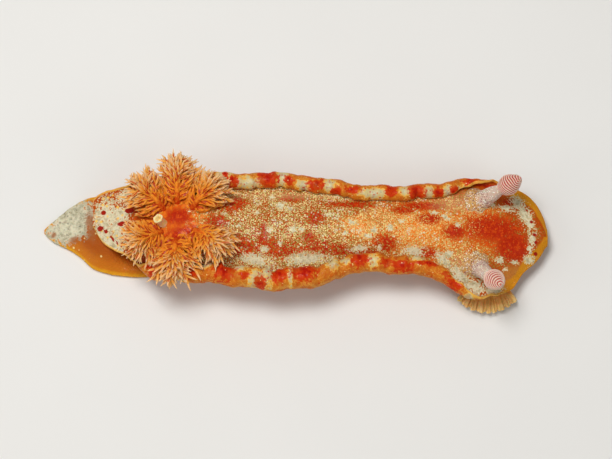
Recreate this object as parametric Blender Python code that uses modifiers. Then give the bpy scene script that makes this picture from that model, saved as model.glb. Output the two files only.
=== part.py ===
"""A Spanish dancer sea slug, life size, crawling with the edge of its mantle rolled up.

+X is the way it crawls, +Y its left side and +Z up. The origin is on the floor, under the
middle of the sole. Every body part is its own solid, a thin gap away from the next one.
"""

import math
import random

import bmesh
import bpy
from mathutils import Matrix, Vector

MM = 0.001
GAP = 0.3 * MM  # between solids that touch in life
SLIVER = 0.01 * MM  # edges shorter than this are dissolved after a Boolean
LEFT, RIGHT = 1, -1
SIDE_NAMES = {LEFT: "left", RIGHT: "right"}

# Lengths along the body
TAIL_TIP = -60.6 * MM
MANTLE_REAR = -48.6 * MM
TRUNK_REAR = -44 * MM
TRUNK_CUTS = (-18 * MM, 12 * MM, 40 * MM)
TRUNK_FRONT = 54 * MM
MANTLE_FRONT = 59.85 * MM
FOOT_FRONT = 47 * MM
STATION_STEP = 3.2 * MM


def profile(*pairs):
    """(place along X, size) pairs given in millimetres, as metres."""
    return tuple((x * MM, size * MM) for x, size in pairs)


# The mantle's middle line swings to the left over the tail
MIDDLE = profile((-48.6, 4.8), (-44, 3), (-38, 1.2), (-32, 0.3), (-26, 0))
# How far out from the X axis the mantle's rolled edge reaches
EDGE = {
    LEFT: profile(
        (-48.6, 9.9), (-47.2, 11.1), (-44.8, 12), (-40, 12.7), (-33, 14.2), (-18, 14.6), (-8, 14.3),
        (-4, 15), (0.5, 13.7), (5.6, 13.4), (10.3, 12.5), (15, 11.4), (24.5, 11.5), (34, 12.5),
        (43.6, 14), (48.3, 13.7), (53.9, 11.8), (56.2, 10.1), (58.2, 7.2), (59.3, 4.6), (59.85, 1.6),
    ),
    RIGHT: profile(
        (-48.6, -2.6), (-46.3, 1.2), (-44.8, 2.5), (-40.4, 5.2), (-38, 7.6), (-35.5, 10.1),
        (-33, 11.4), (-18, 13), (-4, 14.5), (4, 13.7), (9, 12.2), (14, 10), (20, 10.1), (31.7, 11),
        (36.5, 13.8), (38.8, 15.2), (42.5, 15.8), (46, 15.2), (51.2, 12.7), (53.8, 9), (56.9, 6.2),
        (58.5, 4.1), (59.85, 1.3),
    ),
}
# How far from the middle line the free skirt begins, and the flank under it
ROOT = {
    LEFT: profile((-44, 5.6), (-36, 8.2), (-25, 9.6), (0, 9.4), (12, 8.4), (22, 7.7), (34, 8),
                  (43, 11.2), (54, 6)),
    RIGHT: profile((-44, 3.2), (-36, 5.6), (-25, 7), (0, 7.4), (12, 5), (22, 4.6), (34, 6.6),
                   (43, 11.4), (54, 6)),
}
FLANK = {
    LEFT: profile((-44, 5), (-25, 9.1), (0, 8.9), (22, 7.2), (34, 7.2), (43, 7.6), (54, 4.4)),
    RIGHT: profile((-44, 3), (-25, 6.6), (0, 7), (22, 4.4), (34, 5.8), (43, 7.6), (54, 4.4)),
}
ROLL_RADIUS = {
    LEFT: profile((-46, 1), (-36, 1.7), (0, 1.75), (34, 1.55), (43, 1.2), (56, 1.5)),
    RIGHT: profile((-44, 0.9), (-36, 1.8), (-18, 2.3), (0, 2.6), (14, 2.2), (28, 2.1), (36, 1.9),
                   (43, 1.6), (56, 2)),
}
# How far the edge has curled over, in degrees
ROLL_TURN = {
    LEFT: ((-48, 25), (-44, 60), (-40, 130), (-34, 262), (34, 262), (42, 170), (50, 60), (55, 20)),
    RIGHT: ((-48, 12), (-42, 40), (-38, 120), (-33, 250), (32, 265), (38, 205), (44, 110), (51, 40),
            (55, 12)),
}
ROLL_TIGHTER = 0.2  # by how much of its radius the roll tightens towards its edge
EDGE_WAVE = 0.25 * MM
EDGE_WAVE_LENGTH = 9.5 * MM
SKIRT_DROOP = math.radians(16)  # how steeply the mantle leaves its root before it curls up
SKIRT_LEAST = 2.6 * MM  # between its root and its outer edge
SKIRT_STEPS = 9
BRIM_STEPS = 4
SKIRT_THICK = 1.1 * MM
SKIRT_EDGE_THICK = 0.6 * MM

# Heights above the floor
EDGE_HEIGHT = profile((-48.6, 4.9), (-44, 5.8), (-36, 8.2), (-25, 10.2), (0, 10.4), (20, 9.8),
                      (38, 8.4), (46, 7), (54, 5.6), (60, 4.6))
DOME = profile((-48.6, 0.3), (-40, 1.2), (-25, 2.3), (0, 2.4), (30, 2.1), (45, 1.9), (54, 1.2),
               (60, 0.4))
DOME_SHARES = (0.3, 0.58, 0.82)  # places on the back between its middle and the skirt's root
NECK_DROP = 0.9 * MM
FLANK_BULGE = 0.25 * MM
FLANK_FOOT = 0.86  # the flank's half-width at its foot, as a share of that at its neck
HEAD_BOTTOM = profile((46, 1.9), (54, 3.1))

# The foot, and the tail that it runs out into
FOOT_TOP = 1.6 * MM
FOOT_EDGE_THICK = 0.95 * MM
FOOT = {
    LEFT: profile((-44, 11.8), (-38, 11), (-25, 9.6), (0, 8.6), (20, 7.4), (38, 7.4)),
    RIGHT: profile((-44, 8.1), (-38, 8.6), (-25, 7.8), (0, 7.2), (20, 5.6), (38, 6.6)),
}
FOOT_ROUND = 38 * MM
FOOT_ROUND_POWER = 2.4
FOOT_LEDGE = 1.6 * MM  # how far in from its edge the foot is at its full thickness
FOOT_CHAMFER = 0.4 * MM
TAIL_LEFT = profile((-60.6, 3.2), (-59.2, 4.4), (-56.8, 6.5), (-54.4, 8.5), (-52, 10), (-49.6, 11),
                    (-44, 11.8))
TAIL_RIGHT = profile((-60.6, 2.2), (-59.2, 0.7), (-58, -0.2), (-54.4, -2), (-52, -3.6),
                     (-48.4, -6.7), (-44, -8.1))
TAIL_RIDGE = profile((-60.6, 0.9), (-56, 2.1), (-50, 3.3), (-44, 4.4))

# The ring of six gills
CROWN = Vector((-28 * MM, 2.4 * MM, 0))
GILL_RING = 4.6 * MM
GILL_BEARINGS = (42, 91, 137, -146, -93, -32)  # degrees from +X, round the crown
GILL_LENGTHS = (8.9 * MM, 7.5 * MM, 7.2 * MM, 7.4 * MM, 9.4 * MM, 9.0 * MM)
GILL_RISE = 5.0 * MM
RACHIS_RADII = (1.15 * MM, 0.4 * MM)
PINNA_COUNT = 10
PINNA_LENGTH = 5.0 * MM
PINNA_RADII = (0.45 * MM, 0.22 * MM)
PINNULE_PLACES = (0.25, 0.45, 0.62, 0.8)  # along a pinna, on one side and the other in turn
PINNULE_LENGTH = 2.3 * MM
PINNULE_RADIUS = 0.27 * MM
GILL_CLEARANCE = 0.5 * MM
GILL_SUNK = 1 * MM  # how far a stem's outline starts below the back, where it is cut
RACHIS_DROOP = 1.4 * MM
PINNA_SPREAD = (66, 32)  # degrees from the stem, at its foot and at its tip
PINNA_ARCH = 0.7 * MM
PINNA_DROOP = 0.9 * MM

CROWN_BLOCK = 8 * MM  # half the length of back that the gills' feet are cut to
PAPILLA_FOOT = Vector((-31.6 * MM, 1.9 * MM, 0))
PAPILLA_LEAN = Vector((-0.3, 0.15, 1)).normalized()
PAPILLA_LENGTH = 3.4 * MM
PAPILLA_RADIUS = 1.15 * MM

# The two rhinophores
RHINOPHORE_FOOT = {LEFT: Vector((43.3 * MM, 7.9 * MM, 0)), RIGHT: Vector((42.6 * MM, -7.9 * MM, 0))}
RHINOPHORE_LEAN = {
    LEFT: Vector((0.69, 0.25, 0.68)).normalized(),
    RIGHT: Vector((0.355, -0.51, 0.78)).normalized(),
}
STALK_LENGTH = 7.2 * MM
STALK_RADII = (2.0 * MM, 1.4 * MM)
CLUB_LENGTH = 6 * MM
CLUB_RADIUS = 2.75 * MM
CLUB_LAMELLAE = 8
LAMELLA_DEPTH = 0.35 * MM
CLUB_WIDEST = 0.4  # how far up the club it is widest
CLUB_NARROWING = 0.34
RHINOPHORE_STEPS = 14
STALK_SUNK = 3.2 * MM  # how far its outline runs on below the head's surface, where it is cut
SHEATH_WALL = 0.5 * MM
SHEATH_HEIGHT = 1.5 * MM
SHEATH_BLOCK = 7 * MM

# What shows under the front of the head
MOUTH_RADIUS = 2.1 * MM
MOUTH_DEPTH = 1.4 * MM
MOUTH_HEIGHT = 3.9 * MM
MOUTH_SQUASH = 0.42
TENTACLE_X = 45.4 * MM
TENTACLE_LENGTH = {LEFT: 5.6 * MM, RIGHT: 10.6 * MM}
TENTACLE_SPREAD = math.radians(74)
TENTACLE_ROOT_WIDTH = 3.6 * MM
TENTACLE_LOBES = 7
TENTACLE_NOTCH = 0.16  # how deep the gaps between the lobes are, as a share of the length
TENTACLE_ROUND = 0.14
TENTACLE_SUNK = 1.5 * MM
TENTACLE_THICK = 0.8 * MM
TENTACLE_HEIGHT = 3.4 * MM
TENTACLE_TILT = math.radians(8)

# Finishes: base colour, roughness
FINISHES = {
    "skin": ((0.72, 0.16, 0.05), 0.4),
    "mantle_edge": ((0.80, 0.30, 0.12), 0.4),
    "foot": ((0.86, 0.42, 0.10), 0.45),
    "tail": ((0.82, 0.80, 0.70), 0.45),
    "gill": ((0.90, 0.50, 0.20), 0.4),
    "rhinophore": ((0.86, 0.66, 0.62), 0.45),
    "tentacle": ((0.80, 0.55, 0.28), 0.4),
}


# Curves through the profiles


def along(points, x):
    """The value at x of a smooth curve through the points, which doesn't overshoot them."""
    if x <= points[0][0]:
        return points[0][1]
    if x >= points[-1][0]:
        return points[-1][1]
    rises = [(b[1] - a[1]) / (b[0] - a[0]) for a, b in zip(points, points[1:])]

    def slope(i):
        before, after = rises[max(i - 1, 0)], rises[min(i, len(rises) - 1)]
        return 0.0 if before * after <= 0 else 2 * before * after / (before + after)

    i = max(k for k in range(len(rises)) if points[k][0] <= x)
    (x0, v0), (x1, v1) = points[i], points[i + 1]
    span = x1 - x0
    t = (x - x0) / span
    return (
        v0 * (1 + 2 * t) * (1 - t) ** 2
        + v1 * t * t * (3 - 2 * t)
        + span * t * (1 - t) * (slope(i) * (1 - t) - slope(i + 1) * t)
    )


def mantle_reach(side, x):
    """How far the mantle reaches out from its middle line on one side."""
    wave = EDGE_WAVE * math.sin(2 * math.pi * x / EDGE_WAVE_LENGTH + side)
    fade = min(1.0, (x - TRUNK_REAR) / EDGE_WAVE_LENGTH, (TRUNK_FRONT - x) / EDGE_WAVE_LENGTH)
    return along(EDGE[side], x) - side * along(MIDDLE, x) + wave * max(0.0, fade)


def mantle_root(side, x):
    """How far from the middle line the free skirt of the mantle begins."""
    reach = mantle_reach(side, x)
    return min(along(ROOT[side], x), max(0.5 * reach, reach - SKIRT_LEAST))


def turn_at(side, x):
    """How far the mantle's edge has curled over, in radians."""
    return math.radians(along(ROLL_TURN[side], x / MM))


def curl(side, x, steps):
    """The curled end of the skirt, as (out, up, heading) from where the curl begins."""
    turn, radius = turn_at(side, x), along(ROLL_RADIUS[side], x)
    out = up = 0.0
    path = []
    for step in range(steps):
        heading = -SKIRT_DROOP + turn * (step + 0.5) / steps
        length = radius * (1 - ROLL_TIGHTER * step / steps) * turn / steps
        out += length * math.cos(heading)
        up += length * math.sin(heading)
        path.append((out, up, -SKIRT_DROOP + turn * (step + 1) / steps))
    return path


def skirt(side, x, steps=SKIRT_STEPS):
    """The middle line of the free skirt, from its root to its edge: (out, up, heading) each."""
    root, height = mantle_root(side, x), along(EDGE_HEIGHT, x)
    end = curl(side, x, steps)
    reach = max(0.0, *(out for out, _, _ in end))
    room = mantle_reach(side, x) - SKIRT_THICK / 2 - root - GAP - reach
    straight = max(GAP, room / math.cos(SKIRT_DROOP))
    bend_out = root + GAP + straight * math.cos(SKIRT_DROOP)
    bend_up = height - straight * math.sin(SKIRT_DROOP)
    line = [(root + GAP, height, 0.0), (bend_out, bend_up, -SKIRT_DROOP)]
    return line + [(bend_out + out, bend_up + up, heading) for out, up, heading in end]


def skirt_faces(side, x, steps=SKIRT_STEPS):
    """The skirt's upper face, its edge and its lower face at x, each as (y, z) from the root out."""
    line = skirt(side, x, steps)
    upper, lower = [], []
    for index, (out, up, heading) in enumerate(line):
        share = index / (len(line) - 1)
        half = (SKIRT_THICK + (SKIRT_EDGE_THICK - SKIRT_THICK) * share) / 2
        across = (-math.sin(heading) * half, math.cos(heading) * half)
        upper.append((side * (out + across[0]), up + across[1]))
        lower.append((side * (out - across[0]), up - across[1]))
    out, up, heading = line[-1]
    tip = SKIRT_EDGE_THICK / 2
    edge = (side * (out + math.cos(heading) * tip), up + math.sin(heading) * tip)
    return upper, edge, lower


def dome_points(side, x, grow=0.0):
    """The back's surface from just beside its middle to the mantle's root, as (y, z)."""
    root, height = mantle_root(side, x), along(EDGE_HEIGHT, x) + SKIRT_THICK / 2
    rise = along(DOME, x)
    return [(side * root * share, height + rise * (1 - share**2) + grow) for share in DOME_SHARES]


def back_height(x, y):
    """How high the back is at a place between the roots of the mantle."""
    y -= along(MIDDLE, x)
    side = LEFT if y > 0 else RIGHT
    share = min(1.0, abs(y) / mantle_root(side, x))
    return along(EDGE_HEIGHT, x) + SKIRT_THICK / 2 + along(DOME, x) * (1 - share**2)


def top_height(x, y):
    """How high the back or the rolled edge is at a place, or nothing outside the mantle."""
    out = y - along(MIDDLE, x)
    side = LEFT if out > 0 else RIGHT
    if abs(out) > mantle_reach(side, x) + SKIRT_THICK:
        return 0.0
    if abs(out) < mantle_root(side, x) - along(ROLL_RADIUS[side], x):
        return back_height(x, y)
    return max(up for _, up, _ in skirt(side, x)) + SKIRT_THICK / 2


# Cross-sections, each a closed ring of (y, z)


def shifted(ring, x):
    """A ring that was drawn about the mantle's middle line, moved to where that line is."""
    return [(y + along(MIDDLE, x), z) for y, z in ring]


def trunk_section(x, grow=0.0):
    """The back, flanks and underside of the trunk. Growing it gives its neighbours their clearance."""
    height = along(EDGE_HEIGHT, x)
    bottom = max(FOOT_TOP + GAP, along(HEAD_BOTTOM, x)) - grow
    sides = {}
    for side in (LEFT, RIGHT):
        root = mantle_root(side, x) + grow
        flank = min(along(FLANK[side], x) + grow, root)
        neck = height - SKIRT_THICK / 2 - NECK_DROP - grow
        sides[side] = dome_points(side, x, grow) + [
            (side * root, height + SKIRT_THICK / 2 + grow),
            (side * root, height - SKIRT_THICK / 2 - grow),
            (side * flank, neck),
            (side * (flank + FLANK_BULGE), (neck + bottom) / 2),
            (side * flank * FLANK_FOOT, bottom),
        ]
    top = [(0.0, height + SKIRT_THICK / 2 + along(DOME, x) + grow)]
    return shifted(top + sides[RIGHT] + [(0.0, bottom)] + sides[LEFT][::-1], x)


def skirt_section(side):
    """The section function of the free skirt on one side."""

    def section(x):
        upper, edge, lower = skirt_faces(side, x)
        ring = shifted(upper + [edge] + lower[::-1], x)
        return ring if side == RIGHT else ring[::-1]

    return section


def sheet_section(x):
    """The mantle from edge to edge, where no trunk carries it: its front brim and its rear lip."""
    halves = {side: skirt_faces(side, x, BRIM_STEPS) for side in (LEFT, RIGHT)}
    top = along(EDGE_HEIGHT, x) + SKIRT_THICK / 2 + along(DOME, x)
    upper_dome = dome_points(LEFT, x)[::-1] + [(0.0, top)] + dome_points(RIGHT, x)
    upper = halves[LEFT][0][::-1] + upper_dome + halves[RIGHT][0]
    lower_dome = [(y, z - SKIRT_THICK) for y, z in upper_dome]
    lower = halves[LEFT][2][::-1] + lower_dome + halves[RIGHT][2]
    return shifted(upper + [halves[RIGHT][1]] + lower[::-1] + [halves[LEFT][1]], x)


def foot_half(side, x):
    """The foot's half-width, with its round front end."""
    share = max(0.0, x - FOOT_ROUND) / (FOOT_FRONT + GAP - FOOT_ROUND)
    narrowing = (1 - share**FOOT_ROUND_POWER) ** (1 / FOOT_ROUND_POWER)
    return along(FOOT[side], min(x, FOOT_ROUND)) * narrowing


def foot_section(x):
    """The flat sole and its thin edges."""
    sides = {}
    for side in (LEFT, RIGHT):
        half = foot_half(side, x)
        ledge = max(0.4 * half, half - FOOT_LEDGE)
        sides[side] = [
            (side * ledge, FOOT_TOP),
            (side * (half - FOOT_CHAMFER / 2), FOOT_EDGE_THICK),
            (side * half, FOOT_EDGE_THICK / 2),
            (side * (half - FOOT_CHAMFER), 0.0),
        ]
    return [(0.0, FOOT_TOP)] + sides[RIGHT] + [(0.0, 0.0)] + sides[LEFT][::-1]


def tail_section(x):
    """The flat, leaf-shaped tail, thick along its middle."""
    left, right = along(TAIL_LEFT, x), along(TAIL_RIGHT, x)
    middle, half = (left + right) / 2, (left - right) / 2
    edge = min(FOOT_EDGE_THICK, 0.8 * half)
    ridge = along(TAIL_RIDGE, x)
    top = [
        (middle + half * share, edge + (ridge - edge) * (1 - share * share))
        for share in (0.97, 0.7, 0.35, 0, -0.35, -0.7, -0.97)
    ]
    sole = [(middle + half * share, 0.0) for share in (-0.92, 0, 0.92)]
    return top + [(right, 0.45 * edge)] + sole + [(left, 0.45 * edge)]


# Mesh building


def new_object(name, mesh, collection=None):
    """An object for a mesh, in the slug's collection unless another is given."""
    obj = bpy.data.objects.new(name, mesh)
    (collection or bpy.data.collections["sea_slug"]).objects.link(obj)
    return obj


def loft(name, section, stations):
    """A closed solid through the sections at these stations along X.

    A ring's first half is its upper face and its second half the lower one, so the quads of the
    two halves are split along mirrored diagonals and a thin wall keeps its thickness.
    """
    bm = bmesh.new()
    rings = [[bm.verts.new((x, y, z)) for y, z in section(x)] for x in stations]
    count = len(rings[0])
    for near, far in zip(rings, rings[1:]):
        for i in range(count):
            j = (i + 1) % count
            if i < count // 2:
                bm.faces.new((near[i], near[j], far[j]))
                bm.faces.new((near[i], far[j], far[i]))
            else:
                bm.faces.new((near[i], near[j], far[i]))
                bm.faces.new((near[j], far[j], far[i]))
    bm.faces.new(rings[0])
    bm.faces.new(rings[-1][::-1])
    bmesh.ops.recalc_face_normals(bm, faces=bm.faces)
    mesh = bpy.data.meshes.new(name)
    bm.to_mesh(mesh)
    bm.free()
    return new_object(name, mesh)


def even_stations(start, end):
    """Evenly spaced places along X, half a gap inside the two ends."""
    start, end = start + GAP / 2, end - GAP / 2
    count = max(2, round((end - start) / STATION_STEP))
    return [start + (end - start) * i / count for i in range(count + 1)]


def round_stations(start, end, count):
    """Places along X that crowd together towards the end, where the outline closes."""
    start = start + math.copysign(GAP / 2, end - start)
    return [start + (end - start) * math.sin(math.pi / 2 * i / count) for i in range(count + 1)]


def as_mesh(obj, name):
    """Replaces a curve or a modified mesh by its plain evaluated mesh, with its caps welded."""
    evaluated = obj.evaluated_get(bpy.context.evaluated_depsgraph_get())
    mesh = bpy.data.meshes.new_from_object(evaluated)
    bm = bmesh.new()
    bm.from_mesh(mesh)
    bmesh.ops.remove_doubles(bm, verts=bm.verts, dist=SLIVER / 2)
    bmesh.ops.recalc_face_normals(bm, faces=bm.faces)
    bm.to_mesh(mesh)
    bm.free()
    collection, place = obj.users_collection[0], obj.matrix_world.copy()
    bpy.data.objects.remove(obj)
    made = new_object(name, mesh, collection)
    made.matrix_world = place
    return made


def rod(name, points, radii, sides, collection):
    """A tapering rod through the points, from one radius to the other, as a closed mesh."""
    curve = bpy.data.curves.new(name, "CURVE")
    curve.dimensions = "3D"
    curve.bevel_depth = 1.0
    curve.bevel_resolution = sides // 2 - 2
    curve.use_fill_caps = True
    spline = curve.splines.new("POLY")
    spline.points.add(len(points) - 1)
    for index, (point, place) in enumerate(zip(spline.points, points)):
        share = index / (len(points) - 1)
        point.co = (*place, 1)
        point.radius = radii[0] + (radii[1] - radii[0]) * share
    obj = new_object(name, curve, collection)
    bpy.context.view_layer.update()
    return as_mesh(obj, name)


def spike(name, foot, tip, radius, collection):
    """A small four-sided spike from its foot to a sharp tip."""
    bm = bmesh.new()
    length = (tip - foot).length
    bmesh.ops.create_cone(bm, cap_ends=True, segments=4, radius1=radius, radius2=0, depth=length)
    mesh = bpy.data.meshes.new(name)
    bm.to_mesh(mesh)
    bm.free()
    obj = new_object(name, mesh, collection)
    place_along(obj, (foot + tip) / 2, (tip - foot).normalized())


def turned(name, outline, steps):
    """A solid turned round Z from a half outline of (radius, height), listed from the top down."""
    mesh = bpy.data.meshes.new(name)
    points = [(radius, 0, height) for radius, height in outline]
    mesh.from_pydata(points, [(i, i + 1) for i in range(len(points) - 1)], [])
    obj = new_object(name, mesh)
    screw = obj.modifiers.new("turn", "SCREW")
    screw.axis = "Z"
    screw.steps = screw.render_steps = steps
    screw.use_merge_vertices = True
    screw.merge_threshold = SLIVER
    bpy.context.view_layer.update()
    return as_mesh(obj, name)


def apply_boolean(obj, operation, target):
    """Applies one Boolean of a mesh object or of a whole collection to the object."""
    modifier = obj.modifiers.new(operation.lower(), "BOOLEAN")
    modifier.operation = operation
    modifier.solver = "MANIFOLD"
    if isinstance(target, bpy.types.Collection):
        modifier.operand_type = "COLLECTION"
        modifier.collection = target
    else:
        modifier.object = target
    bpy.context.view_layer.update()
    mesh = bpy.data.meshes.new_from_object(obj.evaluated_get(bpy.context.evaluated_depsgraph_get()))
    obj.modifiers.clear()
    obj.data = mesh


def fuse(obj, pieces):
    """Joins a collection of closed pieces to the object in one union, and removes them."""
    apply_boolean(obj, "UNION", pieces)
    for piece in list(pieces.objects):
        bpy.data.objects.remove(piece)
    bpy.data.collections.remove(pieces)
    keep_largest(obj)


def cut_away(obj, cutter):
    """Cuts the object clear of a cutter, which is then removed."""
    apply_boolean(obj, "DIFFERENCE", cutter)
    bpy.data.objects.remove(cutter)
    keep_largest(obj)


def keep_largest(obj):
    """Keeps only the mesh's largest closed surface, in triangles without slivers."""
    bm = bmesh.new()
    bm.from_mesh(obj.data)
    left = set(bm.verts)
    surfaces = []
    while left:
        surface, edge = set(), [left.pop()]
        while edge:
            vert = edge.pop()
            surface.add(vert)
            near = {e.other_vert(vert) for e in vert.link_edges} & left
            left -= near
            edge.extend(near)
        surfaces.append(surface)
    surfaces.sort(key=len, reverse=True)
    scraps = [vert for surface in surfaces[1:] for vert in surface]
    bmesh.ops.delete(bm, geom=scraps, context="VERTS")
    bmesh.ops.triangulate(bm, faces=bm.faces)
    bmesh.ops.dissolve_degenerate(bm, dist=SLIVER, edges=bm.edges)
    bm.to_mesh(obj.data)
    bm.free()


def clearance_block(start, end):
    """The trunk between two places along X, grown by the gap: what stands on it is cut by this."""
    count = max(2, round((end - start) / (STATION_STEP / 2)))
    places = [start + (end - start) * i / count for i in range(count + 1)]
    return loft("clearance", lambda x: trunk_section(x, GAP), places)


def pieces_collection():
    """A fresh collection for the pieces of one node."""
    pieces = bpy.data.collections.new("pieces")
    bpy.context.scene.collection.children.link(pieces)
    return pieces


def place_along(obj, foot, direction):
    """Stands an object that was made along Z on a point, leaning the given way."""
    turn = direction.to_track_quat("Z", "Y").to_matrix().to_4x4()
    obj.data.transform(Matrix.Translation(foot) @ turn)


def finish(obj, finish_name, smooth=40):
    """Gives a node its material and shades it smooth up to a crease angle."""
    colour, roughness = FINISHES[finish_name]
    material = bpy.data.materials.get(finish_name)
    if material is None:
        material = bpy.data.materials.new(finish_name)
        material.use_nodes = True
        shader = material.node_tree.nodes["Principled BSDF"]
        shader.inputs["Base Color"].default_value = (*colour, 1)
        shader.inputs["Roughness"].default_value = roughness
        shader.inputs["Metallic"].default_value = 0.0
    obj.data.materials.clear()
    obj.data.materials.append(material)
    obj.data.shade_smooth()
    obj.data.set_sharp_from_angle(angle=math.radians(smooth))


# The body


def make_trunk():
    """The head and the three lengths of the back, with their flanks."""
    ends = (TRUNK_REAR, *TRUNK_CUTS, TRUNK_FRONT)
    names = ("back_rear", "back_middle", "back_front", "head")
    for name, start, end in zip(names, ends, ends[1:]):
        finish(loft(name, trunk_section, even_stations(start, end)), "skin")


def make_mantle():
    """The rolled skirt in four lengths a side, the brim before the head and the lip over the tail."""
    ends = (TRUNK_REAR, *TRUNK_CUTS, TRUNK_FRONT)
    for side in (LEFT, RIGHT):
        for name, start, end in zip(("rear", "middle", "front", "head"), ends, ends[1:]):
            node = f"mantle_edge_{SIDE_NAMES[side]}_{name}"
            finish(loft(node, skirt_section(side), even_stations(start, end)), "mantle_edge")
    brim = loft("mantle_brim", sheet_section, round_stations(TRUNK_FRONT, MANTLE_FRONT, 5))
    finish(brim, "mantle_edge")
    lip = loft("mantle_lip", sheet_section, round_stations(TRUNK_REAR, MANTLE_REAR, 4)[::-1])
    finish(lip, "mantle_edge")


def make_foot():
    """The sole in three lengths, and the tail."""
    ends = (TRUNK_REAR, *TRUNK_CUTS[:2])
    for name, start, end in zip(("foot_rear", "foot_middle"), ends, ends[1:]):
        finish(loft(name, foot_section, even_stations(start, end)), "foot")
    round_end = round_stations(FOOT_ROUND, FOOT_FRONT, 5)
    straight = even_stations(TRUNK_CUTS[1], FOOT_ROUND)
    finish(loft("foot_front", foot_section, straight + round_end), "foot")
    tail = loft("tail", tail_section, round_stations(TRUNK_REAR, TAIL_TIP, 7)[::-1])
    finish(tail, "tail")


# The gills


class Gill:
    """One gill plume: a rachis that arches up and out, with pinnae that carry pinnules."""

    def __init__(self, index):
        self.index = index
        self.random = random.Random(100 + index)
        bearings = [math.radians(b) for b in GILL_BEARINGS]
        self.bearing = bearings[index]
        turn = [(b - self.bearing + math.pi) % (2 * math.pi) - math.pi for b in bearings]
        self.sector = (
            max(t for t in turn if t < -1e-6) / 2,
            min(t for t in turn if t > 1e-6) / 2,
        )
        self.out = Vector((math.cos(self.bearing), math.sin(self.bearing), 0))
        self.across = Vector((-self.out.y, self.out.x, 0))
        self.length = GILL_LENGTHS[index]
        root = CROWN + self.out * GILL_RING
        self.root_height = back_height(root.x, root.y)

    def kept_clear(self, point, radius):
        """The point, moved into this gill's own sector and above what lies under it."""
        offset = point - CROWN
        distance = max(math.hypot(offset.x, offset.y), 1e-6)
        swing = math.atan2(offset.y, offset.x) - self.bearing
        swing = (swing + math.pi) % (2 * math.pi) - math.pi
        margin = (radius * 1.5 + GAP) / distance
        swing = max(self.sector[0] + margin, min(self.sector[1] - margin, swing))
        angle = self.bearing + swing
        x = CROWN.x + distance * math.cos(angle)
        y = CROWN.y + distance * math.sin(angle)
        height = max(point.z, top_height(x, y) + radius + GILL_CLEARANCE)
        return Vector((x, y, height))

    def rachis(self, share):
        """A point of the arching stem."""
        height = self.root_height - GILL_SUNK + (GILL_RISE + GILL_SUNK) * (1 - (1 - share) ** 2)
        height -= RACHIS_DROOP * share**3
        point = CROWN + self.out * (GILL_RING + self.length * share**1.2)
        return Vector((point.x, point.y, height))

    def pinna(self, number):
        """The points of one side branch, from inside the stem out to its tip."""
        share = 0.16 + 0.84 * number / (PINNA_COUNT - 1)
        hand = 0 if number == PINNA_COUNT - 1 else (-1) ** number
        widest, narrowest = PINNA_SPREAD
        spread = math.radians(widest + (narrowest - widest) * share) * hand
        direction = self.out * math.cos(spread) + self.across * math.sin(spread)
        length = PINNA_LENGTH * (0.75 + 0.45 * math.sin(math.pi * share))
        length *= self.random.uniform(0.9, 1.1)
        start = self.rachis(share)
        points = [start]
        for step in (0.38, 0.7, 1.0):
            rise = PINNA_ARCH * math.sin(math.pi * step) - PINNA_DROOP * step * step
            point = start + direction * length * step + Vector((0, 0, rise))
            points.append(self.kept_clear(point, PINNA_RADII[0]))
        return points

    def pinnules(self, points):
        """The small spikes along one pinna, each as its foot and its tip."""
        spikes = []
        for number, place in enumerate(PINNULE_PLACES):
            step = place * (len(points) - 1)
            near = int(step)
            foot = points[near].lerp(points[near + 1], step - near)
            ahead = (points[near + 1] - points[near]).normalized()
            aside = ahead.cross(Vector((0, 0, 1))).normalized() * (-1) ** number
            lift = Vector((0, 0, self.random.uniform(0.15, 0.6)))
            direction = (ahead * 0.9 + aside * 0.85 + lift).normalized()
            length = PINNULE_LENGTH * self.random.uniform(0.85, 1.15)
            spikes.append((foot, self.kept_clear(foot + direction * length, GAP / 2)))
        return spikes

    def make(self):
        """Joins the stem, pinnae and pinnules into one node that stands on the back."""
        pieces = pieces_collection()
        stem = [self.rachis(share) for share in (0, 0.2, 0.4, 0.6, 0.8, 1)]
        node = rod(f"gill_{self.index + 1}", stem, RACHIS_RADII, 6, bpy.data.collections["sea_slug"])
        for number in range(PINNA_COUNT):
            points = self.pinna(number)
            rod("pinna", points, PINNA_RADII, 4, pieces)
            for foot, tip in self.pinnules(points):
                spike("pinnule", foot, tip, PINNULE_RADIUS, pieces)
        fuse(node, pieces)
        cut_away(node, clearance_block(CROWN.x - CROWN_BLOCK, CROWN.x + CROWN_BLOCK))
        finish(node, "gill")


def make_papilla():
    """The short tube in the middle of the gills that the gut ends in."""
    radius = PAPILLA_RADIUS
    outline = (
        (0, PAPILLA_LENGTH * 0.8), (radius * 0.45, PAPILLA_LENGTH * 0.84),
        (radius * 0.75, PAPILLA_LENGTH), (radius * 0.95, PAPILLA_LENGTH * 0.9),
        (radius * 0.8, PAPILLA_LENGTH * 0.5), (radius, 0), (radius * 1.1, -PAPILLA_LENGTH * 0.4),
        (0, -PAPILLA_LENGTH * 0.4),
    )
    node = turned("anal_papilla", outline, 10)
    foot = Vector((PAPILLA_FOOT.x, PAPILLA_FOOT.y, back_height(PAPILLA_FOOT.x, PAPILLA_FOOT.y)))
    place_along(node, foot, PAPILLA_LEAN)
    cut_away(node, clearance_block(CROWN.x - CROWN_BLOCK, CROWN.x + CROWN_BLOCK))
    finish(node, "tail")


# The head's parts


def club_outline():
    """The half outline of a rhinophore's club, with its lamellae as raised rings."""
    outline = [(0, CLUB_LENGTH)]
    rings = 2 * CLUB_LAMELLAE
    for index in range(rings):
        share = 1 - (index + 0.7) / rings
        round_top = math.sin(math.pi * min(1.0, (1 - share) * 1.25 + 0.12) / 2)
        below = max(0.0, (CLUB_WIDEST - share) / CLUB_WIDEST) ** 2
        radius = CLUB_RADIUS * round_top * (1 - CLUB_NARROWING * below)
        outline.append((radius - (index % 2) * LAMELLA_DEPTH, CLUB_LENGTH * share))
    return outline + [(STALK_RADII[1], 0), (0, 0)]


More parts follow.
